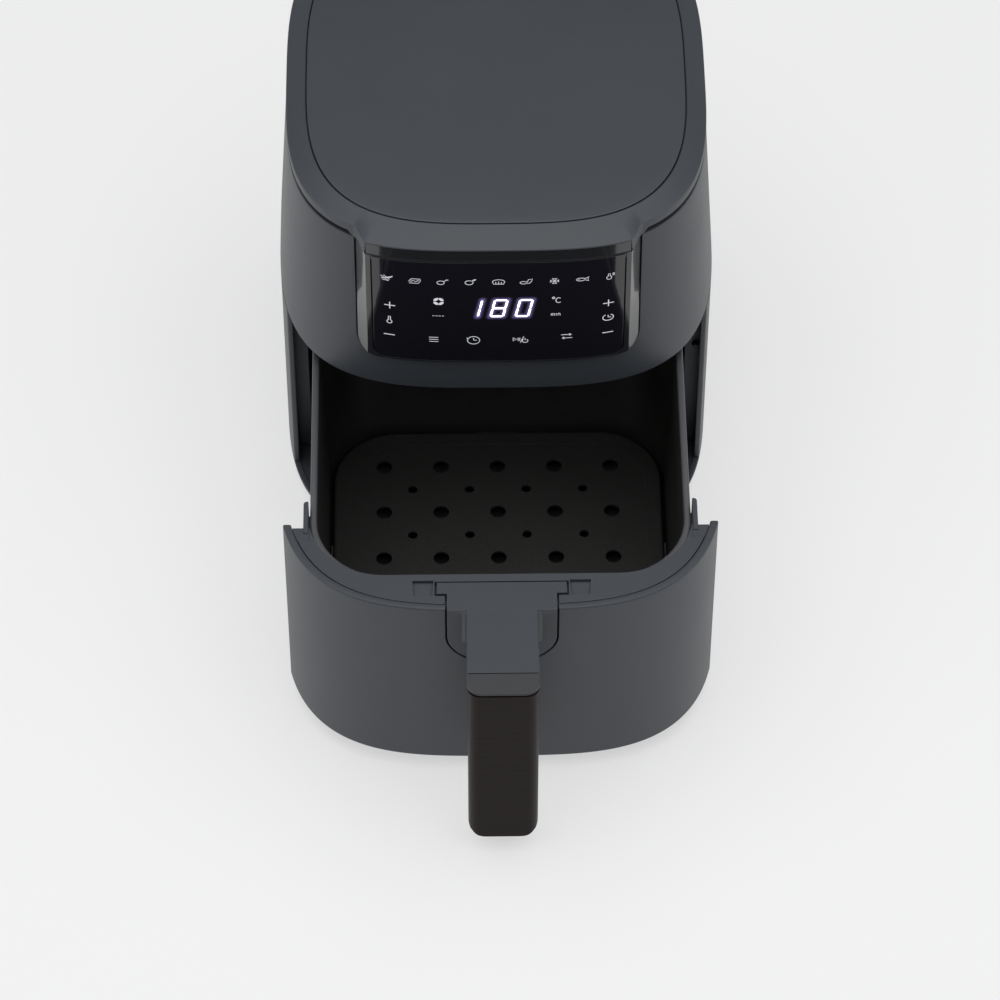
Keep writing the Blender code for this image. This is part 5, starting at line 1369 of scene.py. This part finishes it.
silicone = moulded_plastic("silicone_rubber", (0.022, 0.022, 0.023), 0.62, 0.00004)
for name in ("bumper_left", "bumper_right", "bumper_front", "bumper_back"):
    low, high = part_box(name)
    bumper = soften(block(low, high), 0.0005, segments=3)
    bumper = piece(name + "_moulding", bumper, silicone)
    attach(bumper, "crisper")
    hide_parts(name)

# ---- Feet and base screws ---------------------------------------------------
# Four rubber feet are pressed into the tray, and a cross-head screw behind each one holds the tray to the
# housing. Two more such screws hold the handle's bracket from inside the drawer front.

foot_low, foot_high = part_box("foot_front_left")
far_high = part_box("foot_rear_right")[1]
copies = {"Spread": "NodeSocketFloat", "Depth": "NodeSocketFloat", "Rows": "NodeSocketInt"}
copies |= {"Middle": "NodeSocketVector", "Turn": "NodeSocketVector", "Material": "NodeSocketMaterial"}
graph, wires = geometry_tree("copies", copies)
grid = {"Size X": wires["Spread"], "Size Y": wires["Depth"], "Vertices X": 2, "Vertices Y": wires["Rows"]}
grid = graph.add("GeometryNodeMeshGrid", None, grid)
grid = graph.add("GeometryNodeTransform", None, {"Geometry": grid, "Translation": wires["Middle"]})
turned_to = graph.add("FunctionNodeEulerToRotation", None, {"Euler": wires["Turn"]})
grid = {"Points": grid, "Instance": wires["Geometry"], "Rotation": turned_to}
copy_tree = close_tree(graph, wires, graph.add("GeometryNodeInstanceOnPoints", None, grid))


def turned(profile, steps=40, closed=False):
    """A solid of revolution about Z through (radius, height) points: capped at both ends, or a ring."""
    rings = [np.array([(x, y, height) for x, y in circle(radius, count=steps)]) for radius, height in profile]
    return loft(rings, closed)


foot_radius, foot_height = (foot_high.x - foot_low.x) / 2, foot_high.z
foot_profile = [
    (foot_radius * 0.60, 0.0006),
    (foot_radius * 0.62, 0.0001),
    (foot_radius * 0.66, 0.0),
    (foot_radius * 0.86, 0.0),
    (foot_radius * 0.90, 0.0003),
    (foot_radius * 0.93, 0.0010),
    (foot_radius, foot_height),
]
middle = (foot_low + far_high) / 2
feet = grown(
    "feet",
    turned(foot_profile),
    copy_tree,
    Spread=far_high.x - foot_low.x - 2 * foot_radius,
    Depth=far_high.y - foot_low.y - 2 * foot_radius,
    Rows=2,
    Middle=(0, middle.y, 0),
    Turn=(0, 0, 0),
    Material=silicone,
)
feet = piece("rubber_feet", feet, silicone)
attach(feet, "housing")
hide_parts("foot_front_left", "foot_front_right", "foot_rear_left", "foot_rear_right")

steel = Finish("satin_steel", (0.50, 0.50, 0.51), 0.32, Metallic=1.0)
scratches = steel.noise(40, 4.0, stretch=(1, 1, 40))
steel.set("Base Color", steel.blend(steel.noise(12, 3.0), (0.44, 0.44, 0.45, 1), (0.57, 0.57, 0.58, 1)))
steel.set("Roughness", 0.24 + 0.18 * scratches)
steel.emboss(scratches, 0.00003)
steel = steel.material
screw_low, screw_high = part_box("base_screw_front_left")
screw_far_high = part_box("base_screw_rear_right")[1]
screw_radius, screw_height = (screw_high.x - screw_low.x) / 2, screw_high.z - screw_low.z


def screw_head(radius, height):
    """A pan head that faces down, with a cross recess."""
    profile = [(radius * 0.55, 0), (radius * 0.85, height * 0.12), (radius, height * 0.45), (radius, height)]
    head = turned(profile, 28)
    for long, wide in ((0.55, 0.13), (0.13, 0.55)):
        slot = block((-long * radius, -wide * radius, -0.001), (long * radius, wide * radius, height * 0.5))
        head = boolean(head, slot)
    return head


middle = (screw_low + screw_far_high) / 2
screws = grown(
    "base_screws",
    screw_head(screw_radius, screw_height),
    copy_tree,
    Spread=screw_far_high.x - screw_low.x - 2 * screw_radius,
    Depth=screw_far_high.y - screw_low.y - 2 * screw_radius,
    Rows=2,
    Middle=(0, middle.y, screw_low.z),
    Turn=(0, 0, 0),
    Material=steel,
)
screws = piece("base_screw_heads", screws, steel, angle=30)
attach(screws, "housing")
base_screws = [
    "base_screw_front_left", "base_screw_front_right", "base_screw_rear_left", "base_screw_rear_right"
]
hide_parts(*base_screws)

pair_low, pair_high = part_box("handle_screw_left")[0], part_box("handle_screw_right")[1]
pair_radius, pair_height = (pair_high.z - pair_low.z) / 2, pair_high.y - pair_low.y
screws = grown(
    "handle_screws",
    screw_head(pair_radius, pair_height),
    copy_tree,
    Spread=pair_high.x - pair_low.x - 2 * pair_radius,
    Depth=0.0,
    Rows=1,
    Middle=(0, pair_high.y, (pair_low.z + pair_high.z) / 2),
    Turn=(math.pi / 2, 0, 0),
    Material=steel,
)
screws = piece("handle_screw_heads", screws, steel, angle=30)
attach(screws, "drawer")
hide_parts("handle_screw_left", "handle_screw_right")

# ---- Exhaust grille ---------------------------------------------------------
# The grille is a black moulding that clips into the back of the shell. Its slats slope down and outwards,
# so that no hand can reach past them.

matte_black = moulded_plastic("matte_black_plastic", (0.020, 0.020, 0.022), 0.50)
GRILLE_RIM, SLATS, SLAT_SLOPE = 0.0040, 7, -28
SLAT_DEPTH, SLAT_THICKNESS = 0.0028, 0.0016
slat_sizes = {"Slats": "NodeSocketInt", "Pitch": "NodeSocketFloat", "Length": "NodeSocketFloat"}
slat_sizes |= {"First": "NodeSocketVector", "Material": "NodeSocketMaterial"}
graph, wires = geometry_tree("slats", slat_sizes)
step = graph.add("ShaderNodeCombineXYZ", None, {"Z": wires["Pitch"]})
rows = {"Count": wires["Slats"], "Start Location": wires["First"], "Offset": step}
rows = graph.add("GeometryNodeMeshLine", {"mode": "OFFSET"}, rows)
slat_size = graph.add(
    "ShaderNodeCombineXYZ", None, {"X": wires["Length"], "Y": SLAT_DEPTH, "Z": SLAT_THICKNESS}
)
slat = graph.add("GeometryNodeMeshCube", None, {"Size": slat_size})
slat = graph.add(
    "GeometryNodeTransform", None, {"Geometry": slat, "Rotation": (math.radians(SLAT_SLOPE), 0, 0)}
)
slats = graph.add("GeometryNodeInstanceOnPoints", None, {"Points": rows, "Instance": slat})
joined = graph.add("GeometryNodeJoinGeometry", None, {"Geometry": [wires["Geometry"], slats]})
slat_tree = close_tree(graph, wires, joined)
span_low, span_high = grille_low.z + GRILLE_RIM, grille_high.z - GRILLE_RIM
surround = rounded(grille_high.x, grille_low.z, grille_high.z, 0.0010, 0.0010)
surround = prism(surround, grille_low.y, grille_high.y, "Y")
inside = rounded(grille_high.x - GRILLE_RIM, span_low, span_high, 0.0008, 0.0008)
surround = boolean(surround, prism(inside, grille_low.y - CUT, grille_high.y + CUT, "Y"))
surround = soften(surround, 0.0004, lambda place: place.y > grille_high.y - 0.0001, angle=50)
pitch = (span_high - span_low) / SLATS
grille = grown(
    "grille",
    surround,
    slat_tree,
    Slats=SLATS,
    Pitch=pitch,
    Length=2 * (grille_high.x - GRILLE_RIM) + 0.0006,
    First=(0, (grille_low.y + grille_high.y) / 2, span_low + pitch / 2),
    Material=matte_black,
)
grille = piece("exhaust_grille_moulding", grille, matte_black, angle=30)
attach(grille, "housing")
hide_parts("exhaust_grille")

# ---- Rear spacer ------------------------------------------------------------
# A ribbed block on the back keeps the appliance off the wall, so that the exhaust stays clear. It is
# screwed on from inside.

spacer_low, spacer_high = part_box("rear_spacer")
spacer = soften(block(spacer_low, spacer_high), 0.0015, segments=4)
GROOVE_END, GROOVE_PLACE, GROOVE_DEPTH, GROOVE_HALF = 0.004, 0.006, 0.0010, 0.0008
for z in np.linspace(spacer_low.z + GROOVE_PLACE, spacer_high.z - GROOVE_PLACE, 4):
    low = (spacer_low.x + GROOVE_END, spacer_high.y - GROOVE_DEPTH, z - GROOVE_HALF)
    groove = block(low, (spacer_high.x - GROOVE_END, spacer_high.y + CUT, z + GROOVE_HALF))
    spacer = boolean(spacer, groove)
spacer = piece("rear_spacer_block", spacer, anthracite)
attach(spacer, "housing")
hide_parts("rear_spacer")

# ---- Cord gland -------------------------------------------------------------
# The gland is a black bush, snapped into the housing's back, that the mains lead passes through.

gland_profile = [
    (0.0060, -0.0165),
    (0.0060, -0.0048),
    (0.0092, -0.0048),
    (0.0092, -0.0024),
    (0.0087, -0.0018),
    (0.0066, -0.0016),
    (0.0060, -0.0008),
    (0.0056, 0.0),
    (0.0040, 0.0),
    (0.0034, -0.0008),
    (0.0034, -0.0165),
]
gland = turned(gland_profile, closed=True)
laid = Matrix.Rotation(math.radians(-90), 4, "X")
gland.transform(Matrix.Translation((gland_x, gland_high.y, gland_z)) @ laid)
gland = piece("cord_gland_bush", gland, matte_black)
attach(gland, "housing")
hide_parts("cord_gland")

# ---- Drawer bay and chamber -------------------------------------------------
# The bay is lined with plain galvanised sheet. Above it hangs the pressed aluminium chamber, with its
# insulation plate and the duct to the exhaust.

galvanised = Finish("galvanised_sheet", (0.30, 0.30, 0.31), 0.42, Metallic=1.0)
cells = {"Vector": galvanised.places(), "Scale": 130.0}
crystals = galvanised.add("ShaderNodeTexVoronoi", {"feature": "F1"}, cells)
galvanised.set("Base Color", galvanised.blend(crystals, (0.24, 0.24, 0.25, 1), (0.38, 0.38, 0.39, 1)))
galvanised.set("Roughness", 0.34 + 0.16 * crystals)
galvanised.emboss(galvanised.noise(90, 3.0), 0.00005)
pressed = Finish("pressed_aluminium", (0.62, 0.62, 0.64), 0.36, Metallic=1.0)
brushing = pressed.noise(30, 4.0, stretch=(30, 1, 1))
pressed.set("Base Color", pressed.blend(pressed.noise(9, 3.0), (0.54, 0.54, 0.56, 1), (0.68, 0.68, 0.70, 1)))
pressed.set("Roughness", 0.28 + 0.18 * brushing)
pressed.emboss(brushing, 0.00003)


def coat(material, *nodes):
    """Gives CAD pieces that keep their own shape this material."""
    for node in nodes:
        for material_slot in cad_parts[node].material_slots:
            material_slot.material = material


coat(galvanised.material, "bay_liner")
coat(pressed.material, "heating_chamber", "insulation_plate", "exhaust_duct", "hot_air_fan")

# ---- Heating element and drive ----------------------------------------------
# The element is a steel tube that has taken a heat tint, held by clips under a wire guard. The motor over
# it is built in plain pressed steel, and turns both fans on one shaft.

heated = Finish("heat_tinted_steel", (0.16, 0.14, 0.13), 0.38, Metallic=1.0)
tint = heated.noise(45, 3.0)
heated.set("Base Color", heated.blend(tint.ramp(0.35, 0.7), (0.13, 0.115, 0.11, 1), (0.25, 0.20, 0.16, 1)))
heated.set("Roughness", 0.30 + 0.20 * tint)
heated.emboss(heated.noise(900, 2.0), 0.00003)
coat(heated.material, "heating_element")
coat(
    steel, "element_clip_1", "element_clip_2", "element_clip_3", "element_guard", "fan_motor",
    "motor_bracket",
)
coat(steel, "motor_shaft", "temperature_sensor", "thermal_fuse")
coat(matte_black, "cooling_fan")

# ---- Boards and switch ------------------------------------------------------
# Both circuit boards are green laminate with a printed pattern of tracks. The display module and the
# drawer's switch are moulded in black.

board = Finish("green_laminate", (0.012, 0.085, 0.035), 0.35)
waves = {"Vector": board.places(), "Scale": 160.0, "Distortion": 1.5, "Detail": 1.0}
tracks = board.add("ShaderNodeTexWave", {"bands_direction": "DIAGONAL"}, waves, output=1)
board.set(
    "Base Color", board.blend(tracks.ramp(0.45, 0.55), (0.010, 0.070, 0.028, 1), (0.020, 0.130, 0.055, 1))
)
board.set("Roughness", 0.30 + 0.10 * tracks)
board.emboss(tracks, 0.00003)
coat(board.material, "control_board", "power_board")
coat(matte_black, "display_module", "drawer_switch", "switch_plunger")
